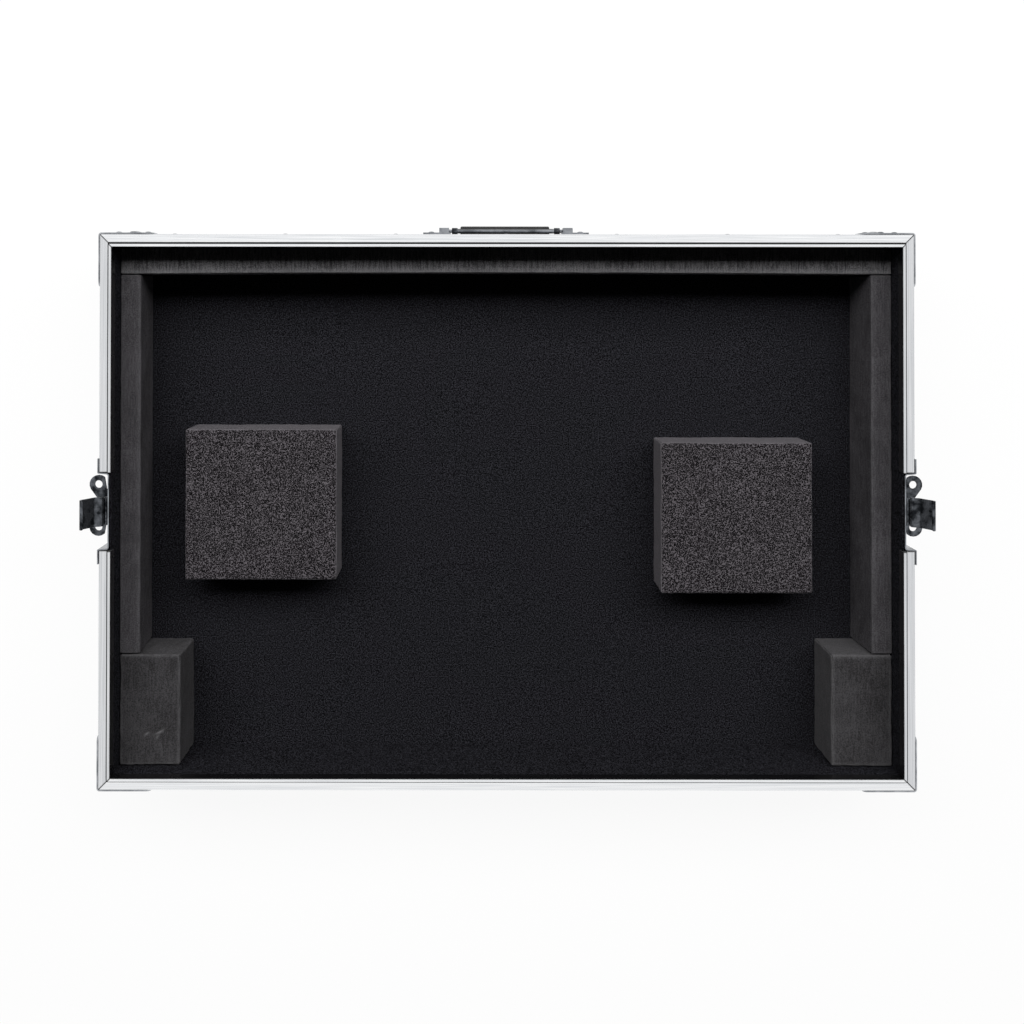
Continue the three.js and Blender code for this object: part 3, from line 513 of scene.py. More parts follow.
# %% Sides and corners
HALF_LENGTH = 410.0
HALF_WIDTH = 279.0
CENTRING = 2.05
FOOT_HEIGHT = 12.0
RIM_TOP = 112.0
FIT_GAP = 0.3
SIDES = {
    "right": (HALF_LENGTH, 0, 0),
    "rear": (0, HALF_WIDTH, 1),
    "left": (-HALF_LENGTH, 0, 2),
    "front": (0, -HALF_WIDTH, 3),
}
CORNERS = {
    "rear_right": (HALF_LENGTH, HALF_WIDTH, 0),
    "rear_left": (-HALF_LENGTH, HALF_WIDTH, 1),
    "front_left": (-HALF_LENGTH, -HALF_WIDTH, 2),
    "front_right": (HALF_LENGTH, -HALF_WIDTH, 3),
}
RUNS_ALONG = {"front": "x", "rear": "x", "left": "y", "right": "y"}
HALF_RUN = {side: {"x": HALF_LENGTH, "y": HALF_WIDTH}[axis] for side, axis in RUNS_ALONG.items()}


def turned(points, quarters):
    """Points turned about the vertical by quarter turns."""
    cosine, sine = ((1, 0), (0, 1), (-1, 0), (0, -1))[quarters]
    x, y, z = np.moveaxis(points, -1, 0)
    return np.stack([x * cosine - y * sine, x * sine + y * cosine, z], axis=-1)


def on_case(points, place, height=0.0):
    """Points of a side's or corner's own frame, turned to their place on the case."""
    x, y, quarters = place
    return turned(points, quarters) + (x, y + CENTRING, height)


def set_on(surface, place, height=0.0):
    """A surface of a side's or corner's own frame, turned to its place on the case."""
    points, faces = surface
    return on_case(points, place, height), faces


def pressed(ending, node, surface, places, height, out, steel, sheet, bevel, body="case"):
    """Pressed or bent sheet steel, the same in every place. Its outer side faces along out."""
    for where, place in places.items():
        outward = turned(np.array(out, float), place[2])
        look = steel, body, "plated_steel", where + node, sheet, bevel
        piece_from(where + ending, set_on(surface, place, height), *look, towards=outward)


# %% [markdown]
# The edging is made as the real bar is: one section carried along a straight path, with its ends
# cut to a mitre. The section's corners are rounded first, because an extruded edge is never
# sharp, and the light along a round edge is what makes a bar look like metal.

# %% Sections with round corners
ARC_STEPS = 5


def rounded(corners, radii, closed=True):
    """A line of corners with round turns.

    At each corner the line turns by an angle. A circle of the given radius touches both sides at
    radius times tan(half the angle) from the corner, and the corner becomes that circle's arc.
    """
    corners, radii = np.array(corners, float), np.array(radii, float)
    came = unit(corners - np.roll(corners, 1, axis=0))
    goes = unit(np.roll(corners, -1, axis=0) - corners)
    side = np.sign(came[:, 0] * goes[:, 1] - came[:, 1] * goes[:, 0])
    turn = np.arccos(np.clip((came * goes).sum(axis=1), -1, 1))
    if not closed:
        radii[[0, -1]], turn[[0, -1]] = 0, 0
    left = np.stack([-came[:, 1], came[:, 0]], axis=1) * side[:, None]
    centre = corners - came * (radii * np.tan(turn / 2))[:, None] + left * radii[:, None]
    angle = (turn[:, None] * np.linspace(0, 1, ARC_STEPS))[..., None]
    spoke = came[:, None] * np.sin(angle) - left[:, None] * np.cos(angle)
    points = (centre[:, None] + spoke * radii[:, None, None]).reshape(-1, 2)
    keep = np.linalg.norm(points - np.roll(points, 1, axis=0), axis=1) > 1e-9
    return points[keep]


END_GRIME = 0.8
GRIME_REACH = 1.0


def bar(section, low, high, mitre_low, mitre_high):
    """The section carried from low to high. A mitred end is drawn back by how far in it lies.
    The last millimetre before each end is a row of its own, so that grime can fade over it."""
    drawn = FIT_GAP - section[:, 0]
    near = low + drawn * mitre_low
    far = high - drawn * mitre_high
    runs = np.stack([near, near + GRIME_REACH, far - GRIME_REACH, far])
    return grid(section[:, 0], runs, section[:, 1], close_columns=True)


def bar_grime_and_shade(section, grime_and_shade_places):
    """How dark each point of a bar is painted: its section's own marks, which on the rim are
    painted shade in the groove and on the lip, and 0.8 at least at both ends, for grime at the
    mitres.
    """
    own = grime_and_shade_places(section[:, 0], section[:, 1]).astype(float)
    ends = np.maximum(own, END_GRIME)
    return np.concatenate([ends, own, own, ends])


# %% [markdown]
# The rim's section has a skirt outside the panel, a flat band, a narrow groove and the tongue
# that the lid closes over. The groove shows as a dark line all round in the photograph.

# %% Rim extrusions
RIM_SECTION = rounded(
    [(0, -26), (0, 0), (-8.3, 0), (-8.3, -1.6), (-10.3, -1.6), (-10.3, 4), (-13, 4), (-13, 2.4),
     (-13, -9), (-11.9, -9), (-11.9, -3), (-1.5, -3), (-1.5, -26)],
    [0.3, 2, 0.3, 0.2, 0.2, 0.6, 0.6, 0, 0.3, 0.3, 0.3, 0.3, 0.3],
)
DISH_GAP = 39.5
EDGE_BEVEL = 0.25


def edging(name, surface, axis, grime_and_shade):
    """A piece of aluminium edging that stands for the CAD node of the same name."""
    look = aluminium[axis], "case", "extrusion", name
    piece_from(name + "_drawn", surface, *look, fill=True, bevel=EDGE_BEVEL, wear=grime_and_shade)


def painted_shade_in_groove_and_lip(out, up):
    """True at the bottom of the groove and on the inner face of the lip below the tongue: the
    points that take painted shade.
    """
    return ((out < -8) & (out > -10.5) & (up < -1)) | ((out < -12.9) & (up < 2.5))


def rim(name, side, low, high, mitre_low, mitre_high):
    """One length of rim on a side of the case."""
    surface = set_on(bar(RIM_SECTION, low, high, mitre_low, mitre_high), SIDES[side], RIM_TOP)
    grime_and_shade = bar_grime_and_shade(RIM_SECTION, painted_shade_in_groove_and_lip)
    edging(name + "_rim_extrusion", surface, RUNS_ALONG[side], grime_and_shade)


for side in ("front", "rear"):
    rim(side, side, -HALF_LENGTH, HALF_LENGTH, True, True)
for side, ahead, behind in (("right", "rear", "front"), ("left", "front", "rear")):
    rim(side + "_" + ahead, side, DISH_GAP, HALF_WIDTH, False, True)
    rim(side + "_" + behind, side, -HALF_WIDTH, -DISH_GAP, True, False)

# %% [markdown]
# Plain angles of the same metal cover the bottom edges and the four upright ones. Their inner
# edge test marks no point, so only their ends gather grime.

# %% Edge angles
ANGLE_RADII = [0.4, 0.4, 0.5, 0.4, 0.4, 1.2]
BOTTOM_SECTION = rounded(
    [(0, 25), (-1.5, 25), (-1.5, 1.5), (-25, 1.5), (-25, 0), (0, 0)], ANGLE_RADII
)
UPRIGHT_SECTION = rounded(
    [(-25, 0), (-25, -1.5), (-1.5, -1.5), (-1.5, -25), (0, -25), (0, 0)], ANGLE_RADII
)
UPRIGHT_LOW, UPRIGHT_HIGH = 37.3, 85.7


def inner_edge(out, _):
    """True more than 1 mm beyond the inner end of the inward leg, where no point lies, so it marks
    nothing.
    """
    return out < out.min() - 1


for side, place in SIDES.items():
    angle = bar(BOTTOM_SECTION, -HALF_RUN[side], HALF_RUN[side], True, True)
    grime_and_shade = bar_grime_and_shade(BOTTOM_SECTION, inner_edge)
    edging(side + "_bottom_angle", set_on(angle, place, FOOT_HEIGHT), RUNS_ALONG[side], grime_and_shade)
for corner, place in CORNERS.items():
    points, faces = bar(UPRIGHT_SECTION, UPRIGHT_LOW, UPRIGHT_HIGH, False, False)
    surface = set_on((points[:, [0, 2, 1]], faces), place)
    edging(corner + "_corner_angle", surface, "z", bar_grime_and_shade(UPRIGHT_SECTION, inner_edge))

# %% [markdown]
# A brace wraps each mitre of the rim. It is a strip of sheet bent round the corner, and its two
# ends are cut round. The strip is a grid: one parameter follows the bend in plan, the other goes
# across the strip, whose half height shrinks to a circle's near the ends.

# %% Rim braces
BRACE_LEG = 53.0
BRACE_OUT = 1.6
BRACE_SHEET, BRACE_BEVEL = 1.3, 0.5
BRACE_BEND = 3.0
BRACE_HALF = 11.0
BRACE_MIDDLE = -12.5
BRACE_END = 5.0
BEND_STEPS, LEG_STEPS, ROUND_STEPS = 6, 12, 9


def brace():
    """Along the strip: straight, a quarter circle, straight. Across it: half height times -1 to 1.

    Within one end radius of an end, the half height is the strip's less the end radius, plus the
    height of a circle of that radius.
    """
    straight = BRACE_LEG + BRACE_OUT - BRACE_BEND
    arc = BRACE_BEND * np.pi / 4
    ends = straight + arc - BRACE_END * (1 - np.cos(np.linspace(np.pi / 2, 0, ROUND_STEPS)))
    leg = np.linspace(arc, ends[0], LEG_STEPS)[1:-1]
    run = np.concatenate([np.linspace(0, arc, BEND_STEPS), leg, ends])
    run = np.concatenate([-run[:0:-1], run])
    inside = np.clip(BRACE_END - (straight + arc - np.abs(run)), 0, BRACE_END)
    half = BRACE_HALF - BRACE_END + np.sqrt(BRACE_END**2 - inside**2)
    angle = np.pi / 4 * (1 + np.clip(run / arc, -1, 1))
    beyond = np.clip(np.abs(run) - arc, 0, None) * np.sign(run)
    centre = BRACE_OUT - BRACE_BEND
    x = centre + BRACE_BEND * np.cos(angle) - np.maximum(beyond, 0)
    y = centre + BRACE_BEND * np.sin(angle) + np.minimum(beyond, 0)
    across = half[:, None] * np.linspace(-1, 1, ROUND_STEPS)
    return grid(x[:, None], y[:, None], BRACE_MIDDLE + across)


look = bright_steel, BRACE_SHEET, BRACE_BEVEL
pressed("_brace_pressed", "_rim_brace", brace(), CORNERS, RIM_TOP, (1, 1, 0), *look)

# %% [markdown]
# A ball corner is one piece of steel pressed between dies: three quarter discs that meet at the
# case's corner, and a ball that swells out of them. Each disc is a polar grid round the corner.
# Its points are first rounded over the cube's edges, then pushed away from the ball's centre
# until none is closer than the ball's radius, with a soft turn where plate and ball meet.

# %% Ball corners
PLATE_OUT = 1.5
PLATE_LEG = 44.0
PLATE_EDGE = 2.2
BALL_CENTRE = np.array([-9.0, -9.0, 9.0])
BALL_RADIUS = 17.4
BALL_FILLET = 2.5
BALL_SHEET, BALL_BEVEL = 1.2, 0.35
DISC_ROWS, DISC_COLUMNS = 34, 25


def smooth_max(a, b, width):
    """The larger of two values. Within width of each other, a parabola blends them."""
    near = np.clip(width - np.abs(a - b), 0, None) / width
    return np.maximum(a, b) + near**2 * width / 4


def ball_corner():
    """Corner plus radius times direction on three faces, rounded, then pushed out to the ball."""
    corner = np.array([PLATE_OUT, PLATE_OUT, -PLATE_OUT])
    inward = np.array([-1.0, -1.0, 1.0])
    radius = np.linspace(0, PLATE_LEG, DISC_ROWS)[:, None]
    angle = np.linspace(0, np.pi / 2, DISC_COLUMNS)
    across, up = radius * np.cos(angle), radius * np.sin(angle)
    depth, faces = together([grid(across, up, 0), grid(0, across, up), grid(up, 0, across)])
    core = np.maximum(depth, PLATE_EDGE)
    depth = core + PLATE_EDGE * unit(depth - core)
    way = corner + depth * inward - BALL_CENTRE
    reach = np.linalg.norm(way, axis=1, keepdims=True)
    return BALL_CENTRE + way / reach * smooth_max(reach, BALL_RADIUS, BALL_FILLET), faces


look = bright_steel, BALL_SHEET, BALL_BEVEL
pressed("_ball_pressed", "_ball_corner", ball_corner(), CORNERS, FOOT_HEIGHT, (1, 1, -1), *look)

# %% [markdown]
# The latch dish is pressed too: a flange over the edging and a recess with round corners that is
# open at the top, where the hook comes out. Its grid runs along the recess's outline in one
# parameter. In the other it goes over the flange, down the wall and across the floor.

# %% Latch dishes
FLANGE = (53.0, -70.5, 4.0)
RECESS = (38.0, -60.0, 5.0)
DISH_TOP = -0.5
DISH_OUT = 1.5
RECESS_FLOOR = -9.0
DISH_SHEET, DISH_BEVEL = 1.2, 0.3
DISH_STEPS = 181
WALL_SECTION = rounded(
    [(-2.5, DISH_OUT), (0, DISH_OUT), (1, RECESS_FLOOR), (4, RECESS_FLOOR)],
    [0, 1.2, 1.6, 0],
    closed=False,
)


def even_line(points, count):
    """A line sampled at even distances along its length."""
    steps = np.linalg.norm(np.diff(points, axis=0), axis=1)
    length = np.concatenate([[0], np.cumsum(steps)])
    even = np.linspace(0, length[-1], count)
    return np.stack([np.interp(even, length, points[:, axis]) for axis in (0, 1)], axis=1)


def u_line(half, bottom, radius):
    """Even points down one side, round two corners and up the other side, along and up."""
    corners = [(-half, DISH_TOP), (-half, bottom), (half, bottom), (half, DISH_TOP)]
    return even_line(rounded(corners, [0, radius, radius, 0], closed=False), DISH_STEPS)


def dish():
    """A U-shaped line, moved inwards and down through the wall's section, then drawn to a point."""
    half, bottom, corner = RECESS
    rows = [np.insert(u_line(*FLANGE), 0, DISH_OUT, axis=1)]
    for inset, out in WALL_SECTION:
        line = u_line(half - inset, bottom + inset, max(corner - inset, 1))
        rows.append(np.insert(line, 0, out, axis=1))
    middle = np.array([RECESS_FLOOR, 0, DISH_TOP])
    rows += [rows[-1] + (middle - rows[-1]) * share for share in (0.3, 0.6, 1)]
    return np.concatenate(rows), quads(len(rows), DISH_STEPS)


latch_sides = {side: SIDES[side] for side in ("left", "right")}
look = plated_steel, DISH_SHEET, DISH_BEVEL
pressed("_dish_pressed", "_latch_dish", dish(), latch_sides, RIM_TOP, (1, 0, 0), *look)

# %% [markdown]
# The hook is a strip of sheet steel, bent twice to step over the wing and a third time to make
# its lip. Its middle line is a line with round turns, and the sheet lies half to each side of it.
# It leans out on its pin, as it does when it hangs free of the lid.

# %% Latch hooks
HOOK_ROWS, HOOK_COLUMNS = 44, 11
HOOK_CORNERS = [(0, 0), (0, 7), (3.5, 11), (3.5, 30.8), (-1.5, 28.9)]
HOOK_LINE = even_line(rounded(HOOK_CORNERS, [0, 3, 3, 2.4, 0], closed=False), HOOK_ROWS)
HOOK_PIN = (-6.4, -4.0)
HOOK_LEAN = np.radians(33)
HOOK_SHEET, HOOK_BEVEL = 1.5, 0.4
NECK_HALF = 10.0
BLADE_HALF = 14.75
SHOULDER = (1.8, 4.0)
HOOK_CORNER = 1.6
KNUCKLE_RADIUS = 2.0
TURN_STEPS = 28


def hook():
    """Across the strip: half width times -1 to 1. The half width grows from the neck's over the
    shoulder, and falls by a circle's height at the tip. The whole is then leaned about the pin."""
    length = np.linalg.norm(np.diff(HOOK_LINE, axis=0), axis=1).sum()
    gone = np.linspace(0, length, len(HOOK_LINE))
    widened = np.clip((gone - SHOULDER[0]) / (SHOULDER[1] - SHOULDER[0]), 0, 1)
    half = NECK_HALF + (BLADE_HALF - NECK_HALF) * widened**0.5
    inside = np.clip(HOOK_CORNER - (length - gone), 0, HOOK_CORNER)
    half = half - HOOK_CORNER + np.sqrt(HOOK_CORNER**2 - inside**2)
    run = unit(np.gradient(HOOK_LINE, axis=0))
    out, up = (HOOK_LINE + np.stack([run[:, 1], -run[:, 0]], axis=1) * HOOK_SHEET / 2).T
    x = HOOK_PIN[0] + out * np.cos(HOOK_LEAN) + up * np.sin(HOOK_LEAN)
    z = HOOK_PIN[1] - out * np.sin(HOOK_LEAN) + up * np.cos(HOOK_LEAN)
    return grid(x[:, None], half[:, None] * np.linspace(-1, 1, HOOK_COLUMNS), z[:, None])


def revolved(section, out=0.0, up=0.0, steps=TURN_STEPS, thinner=0.0, closed=False):
    """A section of radius and place along the wall, turned about an axis: out plus radius times
    cosine, and up plus radius times sine. Thinner is taken off the radius."""
    angle = np.linspace(0, 2 * np.pi, steps, endpoint=False)
    radius = section[:, :1] - thinner
    x, z = out + radius * np.cos(angle), up + radius * np.sin(angle)
    return grid(x, section[:, 1:], z, close_rows=closed, close_columns=True)


def sleeve(bore, radius, half, radii):
    """The section of a tube, as radius and place along it, with round corners."""
    return rounded([(bore, -half), (radius, -half), (radius, half), (bore, half)], radii)


knuckle = revolved(sleeve(0, KNUCKLE_RADIUS, NECK_HALF, [0, 0.4, 0.4, 0]), *HOOK_PIN)
outward = np.cos(HOOK_LEAN), 0, -np.sin(HOOK_LEAN)
for side, place in latch_sides.items():
    body = side + "_hook"
    look = steel_painted_with_dark_reflection, HOOK_SHEET, HOOK_BEVEL, body
    pressed("_hook_bent", "_latch_hook", hook(), {side: place}, RIM_TOP, outward, *look)
    surface = set_on(knuckle, place, RIM_TOP)
    piece_from(body + "_knuckle", surface, steel_painted_with_dark_reflection, body, "plated_steel")

# %% [markdown]
# The wing, rotor, draw plate and handle plate have shapes with windows and holes, which the CAD
# model already holds. A copy of each is merged, its flat faces are joined, and a Bevel modifier
# rounds its edges, because a stamped or cast edge is never knife sharp.

# %% Softened copies
def softened(node, width, body, steel=steel_painted_with_dark_reflection):
    """A copy of a CAD solid: doubles merged, triangles of flat faces joined, edges rounded."""
    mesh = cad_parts[node].data.copy()
    clean(mesh, join=True)
    mesh.name = node + "_softened"
    mesh.shade_smooth()
    piece_of(mesh, steel, body, "plated_steel", node, bevel=width)


for side in latch_sides:
    for part, width in (("_wing", 0.6), ("_rotor", 0.3), ("_draw_plate", 0.2)):
        softened(side + "_latch" + part, width, side + part)
softened("handle_plate", 0.6, "case", plated_steel)

# %% [markdown]
# The handle's bail is a bent rod. A circle is carried along the rod's middle line, turned to
# stand square to it. The line lies in a plane that leans out a little, so one direction of the
# circle is always that plane's normal, and the other is square to both it and the line.

# %% Handle bail
HANDLE_HEIGHT = 61.5
AXLE = (5.2, 14.0)
BAIL_HALF = 53.0
BAIL_DROP = 36.0
BAIL_LEAN = 2.2
BAIL_RADIUS = 2.6
BAIL_TURN = 6.5
EYE_RADIUS = 3.4
EYE_HALF = 3.0
EYE_HOLE = 2.05
BAIL_STEPS, ROD_STEPS = 140, 24


def rod(line, radius, normal):
    """Line plus radius times (cosine times plane normal plus sine times the direction across)."""
    across = np.cross(unit(np.gradient(line, axis=0)), normal)
    angle = np.linspace(0, 2 * np.pi, ROD_STEPS, endpoint=False)[None, :, None]
    points = line[:, None] + radius * (np.cos(angle) * normal + np.sin(angle) * across[:, None])
    return points.reshape(-1, 3), quads(len(line), ROD_STEPS, close_columns=True)


drop = EYE_RADIUS - BAIL_RADIUS / 2
corners = [(-BAIL_HALF, drop), (-BAIL_HALF, BAIL_DROP), (BAIL_HALF, BAIL_DROP), (BAIL_HALF, drop)]
u_shape = rounded(corners, [0, BAIL_TURN, BAIL_TURN, 0], closed=False)
along, down = even_line(u_shape, BAIL_STEPS).T
lean = BAIL_LEAN / BAIL_DROP
bail_line = np.stack([AXLE[0] + lean * down, along, AXLE[1] - down], axis=1)
bail_normal = np.array([1, 0, lean]) / np.hypot(1, lean)
eye = sleeve(EYE_HOLE, EYE_RADIUS, EYE_HALF, [0.2, 0.5, 0.5, 0.2])
eyes = [revolved(eye + (0, end), *AXLE, closed=True) for end in (-BAIL_HALF, BAIL_HALF)]
bail = together([rod(bail_line, BAIL_RADIUS, bail_normal), *eyes])
surface = set_on(bail, SIDES["front"], HANDLE_HEIGHT)
look = steel_painted_with_dark_reflection, "handle", "plated_steel", "handle_bail"
piece_from("handle_bail_bent", surface, *look, fill=True)

# %% [markdown]
# The grip is a rubber sleeve on the rod. It has rounded ends and shallow ribs along it, which
# the mould leaves so that it doesn't slip. The ribs are a cosine wave round the sleeve.

# %% Handle grip
GRIP_HALF = 47.5
GRIP_RADIUS = 5.1
GRIP_BORE = 2.9
GRIP_OUT = 7.4
RIBS = 26
RIB_STEPS = 6
RIB_DEPTH = 0.3


def grip():
    """Radius of a sleeve, less half a rib's depth times 1 minus the cosine of ribs times angle."""
    section = sleeve(GRIP_BORE, GRIP_RADIUS, GRIP_HALF, [0.3, 1.4, 1.4, 0.3])
    angle = np.linspace(0, 2 * np.pi, RIBS * RIB_STEPS, endpoint=False)
    outer = np.clip((section[:, :1] - GRIP_BORE) / (GRIP_RADIUS - GRIP_BORE), 0, 1)
    ribs = outer * RIB_DEPTH / 2 * (1 - np.cos(RIBS * angle))
    return revolved(section, GRIP_OUT, AXLE[1] - BAIL_DROP, len(angle), ribs, closed=True)


surface = set_on(grip(), SIDES["front"], HANDLE_HEIGHT)
piece_from("handle_grip_moulded", surface, rubber, "handle", "grip_rubber", "handle_grip")

# %% [markdown]
# The feet are moulded too: short cones with a bore from below for their screw. A section from
# the middle of the bore out and up to the middle of the top is turned about the vertical.

# %% Feet
FOOT_INSET = 70.0
FOOT_SECTION = rounded(
    [(0, 6), (6, 6), (6, 0), (16, 0), (19, 13.5), (0, 13.5)],
    [0, 0.6, 1, 1.6, 0.8, 0],
    closed=False,
)


def foot():
    """The section turned about the vertical: radius times cosine and sine, and its own height."""
    points, faces = revolved(FOOT_SECTION, steps=2 * TURN_STEPS)
    return points[:, [0, 2, 1]] - (FOOT_INSET, FOOT_INSET, 0), faces


for corner, place in CORNERS.items():
    look = rubber, "case", "foot_rubber", corner + "_foot"
    piece_from(corner + "_foot_moulded", set_on(foot(), place), *look)

# %% [markdown]
# Rivets hold everything to the panels. A rivet's head is a flat dome: full at the edge and level
# at the top. All the heads are one piece. Their places are the CAD model's, where rows along the
# edging are spread evenly, about 110 mm apart. On braces and ball corners a place is two shares:
# along the leg, and down the strip or up the plate.

# %% Rivet places
RIVET_SPACING = 110.0
RIVET_MARGIN = 18.0
BOTTOM_ROW = 18.0
RIM_ROW = -19.0
UPRIGHT_IN, UPRIGHT_LEVEL = -18.0, 71.7
BRACE_RIVETS = np.array([(0.3, 0.5), (0.6, 0.26), (0.6, 0.74), (0.86, 0.5)])
BALL_RIVETS = np.array([(0.36, 0.74), (0.74, 0.36)])
DISH_RIVETS = np.array([
    (-45.5, -10.3), (-45.5, -34.1), (-45.5, -57.9), (45.5, -10.3), (45.5, -34.1), (45.5, -57.9),
    (-21.2, -65.25), (21.2, -65.25),
])
HANDLE_RIVET = 77.34
HANDLE_FACES = ((3.4, 14), (1.4, -14))
OUT, ALONG, DOWN = (1, 0, 0), (0, 1, 0), (0, 0, -1)
places, directions = [], []


def put(x, y, z, direction, place, height):
    """Notes rivets that stand on a face, in the side's own frame: places and the way they point."""
    points = np.stack(np.broadcast_arrays(*np.atleast_1d(x, y, z)), axis=1).astype(float)
    places.append(on_case(points, place, height))
    directions.append(np.broadcast_to(turned(np.array(direction, float), place[2]), points.shape))


def row(low, high):
    """Even places between two ends, less a margin at each, about one spacing apart."""
    low, high = low + RIVET_MARGIN, high - RIVET_MARGIN
    return np.linspace(low, high, max(1, round((high - low) / RIVET_SPACING)) + 1)


for side, place in SIDES.items():
    reach = HALF_RUN[side]
    put(0, row(PLATE_LEG - reach, reach - PLATE_LEG), BOTTOM_ROW, OUT, place, FOOT_HEIGHT)
    stretches = [(BRACE_LEG - reach, reach - BRACE_LEG)]
    if RUNS_ALONG[side] == "y":
        stretches = [(FLANGE[0], reach - BRACE_LEG), (BRACE_LEG - reach, -FLANGE[0])]
        put(DISH_OUT, *DISH_RIVETS.T, OUT, place, RIM_TOP)
    for low, high in stretches:
        put(0, row(low, high), RIM_ROW, OUT, place, RIM_TOP)
for place in CORNERS.values():
    along, down = BRACE_RIVETS.T
    back, up = -along * BRACE_LEG, BRACE_MIDDLE + BRACE_HALF - down * 2 * BRACE_HALF
    put(BRACE_OUT, back, up, OUT, place, RIM_TOP)
    put(back, BRACE_OUT, up, ALONG, place, RIM_TOP)
    put(0, UPRIGHT_IN, UPRIGHT_LEVEL, OUT, place, 0)
    put(UPRIGHT_IN, 0, UPRIGHT_LEVEL, ALONG, place, 0)
    far, near = PLATE_OUT - BALL_RIVETS.T * PLATE_LEG
    put(PLATE_OUT, far, -near, OUT, place, FOOT_HEIGHT)
    put(far, PLATE_OUT, -near, ALONG, place, FOOT_HEIGHT)
    put(far, near, -PLATE_OUT, DOWN, place, FOOT_HEIGHT)
for end in (-HANDLE_RIVET, HANDLE_RIVET):
    for out, up in HANDLE_FACES:
        put(out, end, up, OUT, SIDES["front"], HANDLE_HEIGHT)
print("rivets:", sum(len(group) for group in places))

# %% Rivet heads
HEAD_RADIUS = 3.5
HEAD_RISE = 1.45
HEAD_ROOT = 0.5
HEAD_STEPS = 18


def domes(centres, outward):
    """Height over a head: rise times (1 - share of the radius ** 2.6) ** 0.6. Its last row is a
    root below the face."""
    share = np.array([0, 0.3, 0.55, 0.75, 0.88, 0.96, 1, 1])
    height = HEAD_RISE * (1 - share**2.6) ** 0.6
    height[-1] = -HEAD_ROOT
    angle = np.linspace(0, 2 * np.pi, HEAD_STEPS, endpoint=False)[:, None]
    first = np.where(np.abs(outward[:, 2:]) > 0.5, (1.0, 0, 0), (0, 0, 1.0))
    second = np.cross(outward, first)
    circle = first[:, None] * np.cos(angle) + second[:, None] * np.sin(angle)
    points = centres[:, None, None] + (HEAD_RADIUS * share)[:, None, None] * circle[:, None]
    points = points + height[:, None, None] * outward[:, None, None]
    one = quads(len(share), len(angle), close_columns=True)
    starts = np.arange(len(centres)) * len(share) * len(angle)
    return points.reshape(-1, 3), (one + starts[:, None, None]).reshape(-1, 4)


heads = domes(np.concatenate(places), np.concatenate(directions))
piece_from("rivet_heads", heads, plated_steel, "case", "plated_steel", fill=True)

# %% [markdown]
# Foam can't be cut to a sharp corner. Each block starts as six grids on the sides of a box. The
# box shrunk by the edge's radius is its core, and every point is moved to lie one radius from the
# core's nearest point, which rounds all edges and corners at once. A gentle relief then moves
# each point along the same line, always inwards, so that the block stays in its own space.

# %% Foam blocks
EDGE_TURN_STEPS = 5
PALE_EDGE_REACH = 1.8
SINES = 9
SLOW_WAVE, SMALL_WAVE, TEAR = 70, 11, 16


def stations(low, high, edge, step):
    """Places from low to high: closer where the edge turns, by the tangent of even angles."""
    turn = edge * (1 - np.tan(np.linspace(np.pi / 4, 0, EDGE_TURN_STEPS)))
    flat = np.linspace(low + edge, high - edge, max(2, int((high - low) / step)))
    return np.concatenate([low + turn[:-1], flat, high - turn[-2::-1]])


def box_grids(places):
    """The six sides of a box: two axes run over their places, the third stays at an end."""
    sides = []
    for axis in range(3):
        first, second = [places[other] for other in range(3) if other != axis]
        for end in (0, -1):
            spans = [first[:, None], second]
            spans.insert(axis, places[axis][end])
            sides.append(grid(*spans))
    return together(sides)


def foam_block(low, high, edge, step, relief):
    """A box with round edges: core point plus radius times direction, plus relief along it."""
    low, high = np.array(low), np.array(high)
    points, faces = box_grids([stations(a, b, edge, step) for a, b in zip(low, high)])
    core = np.clip(points, low + edge, high - edge)
    outward = unit(points - core)
    points = core + outward * edge
    return points + outward * relief(points, outward)[:, None], faces


def waves(points, length, seed):
    """Relief between about -1 and 1: 2.5 times the mean of nine sines of like length, which run
    in random directions and start at random."""
    random = np.random.default_rng(seed)
    directions = random.normal(size=(3, SINES))
    directions /= np.linalg.norm(directions, axis=0)
    turns = points @ directions / length * random.uniform(0.7, 1.4, SINES)
    return np.sin(2 * np.pi * (turns + random.uniform(0, 1, SINES))).mean(axis=1) * 2.5


def cut_relief(seed, depth):
    """Relief of a cut face: slow waves, small tears, and more wear where an edge turns."""
    def relief(points, outward):
        turning = 1 - np.abs(outward).max(axis=1)
        slow = np.minimum(waves(points, SLOW_WAVE, seed) - 1, 0)
        small = np.minimum(waves(points, SMALL_WAVE, seed + 1) - 1, 0)
        tears = np.clip(waves(points, TEAR, seed + 2), 0, 1)
        return depth * (0.4 * slow + 0.25 * small - 5 * turning * tears)
    return relief


def to_sides(points):
    """How far each point lies from the nearer side of its block, along each axis."""
    return np.minimum(points - points.min(axis=0), points.max(axis=0) - points)


def pale_edges(points, edge):
    """1 less the distance to the second nearest side over 1.8 edge radii, and 0 further in."""
    return np.clip(1 - np.sort(to_sides(points), axis=1)[:, 1] / (PALE_EDGE_REACH * edge), 0, 1)


def dress_foam(node, material, relief, edge, step, fill, slot, bend=None, edge_paleness=0.0, extra_paleness=None):
    """Replaces a plain CAD foam solid with a cut block in the same space. Bend moves its points,
    the edge paleness is how pale its edges are, for rubbing and painted highlight, and the extra
    paleness adds how pale each point is, for torn cells, closed skin and painted light."""
    points, faces = foam_block(*box_mm(node), edge, step, relief)
    wear = edge_paleness * pale_edges(points, edge)
    if extra_paleness:
        wear = np.maximum(wear, extra_paleness(points))
    if bend:
        points = bend(points)
    piece = piece_from(node + "_cut", (points, faces), material, "case", slot, node, wear=wear)


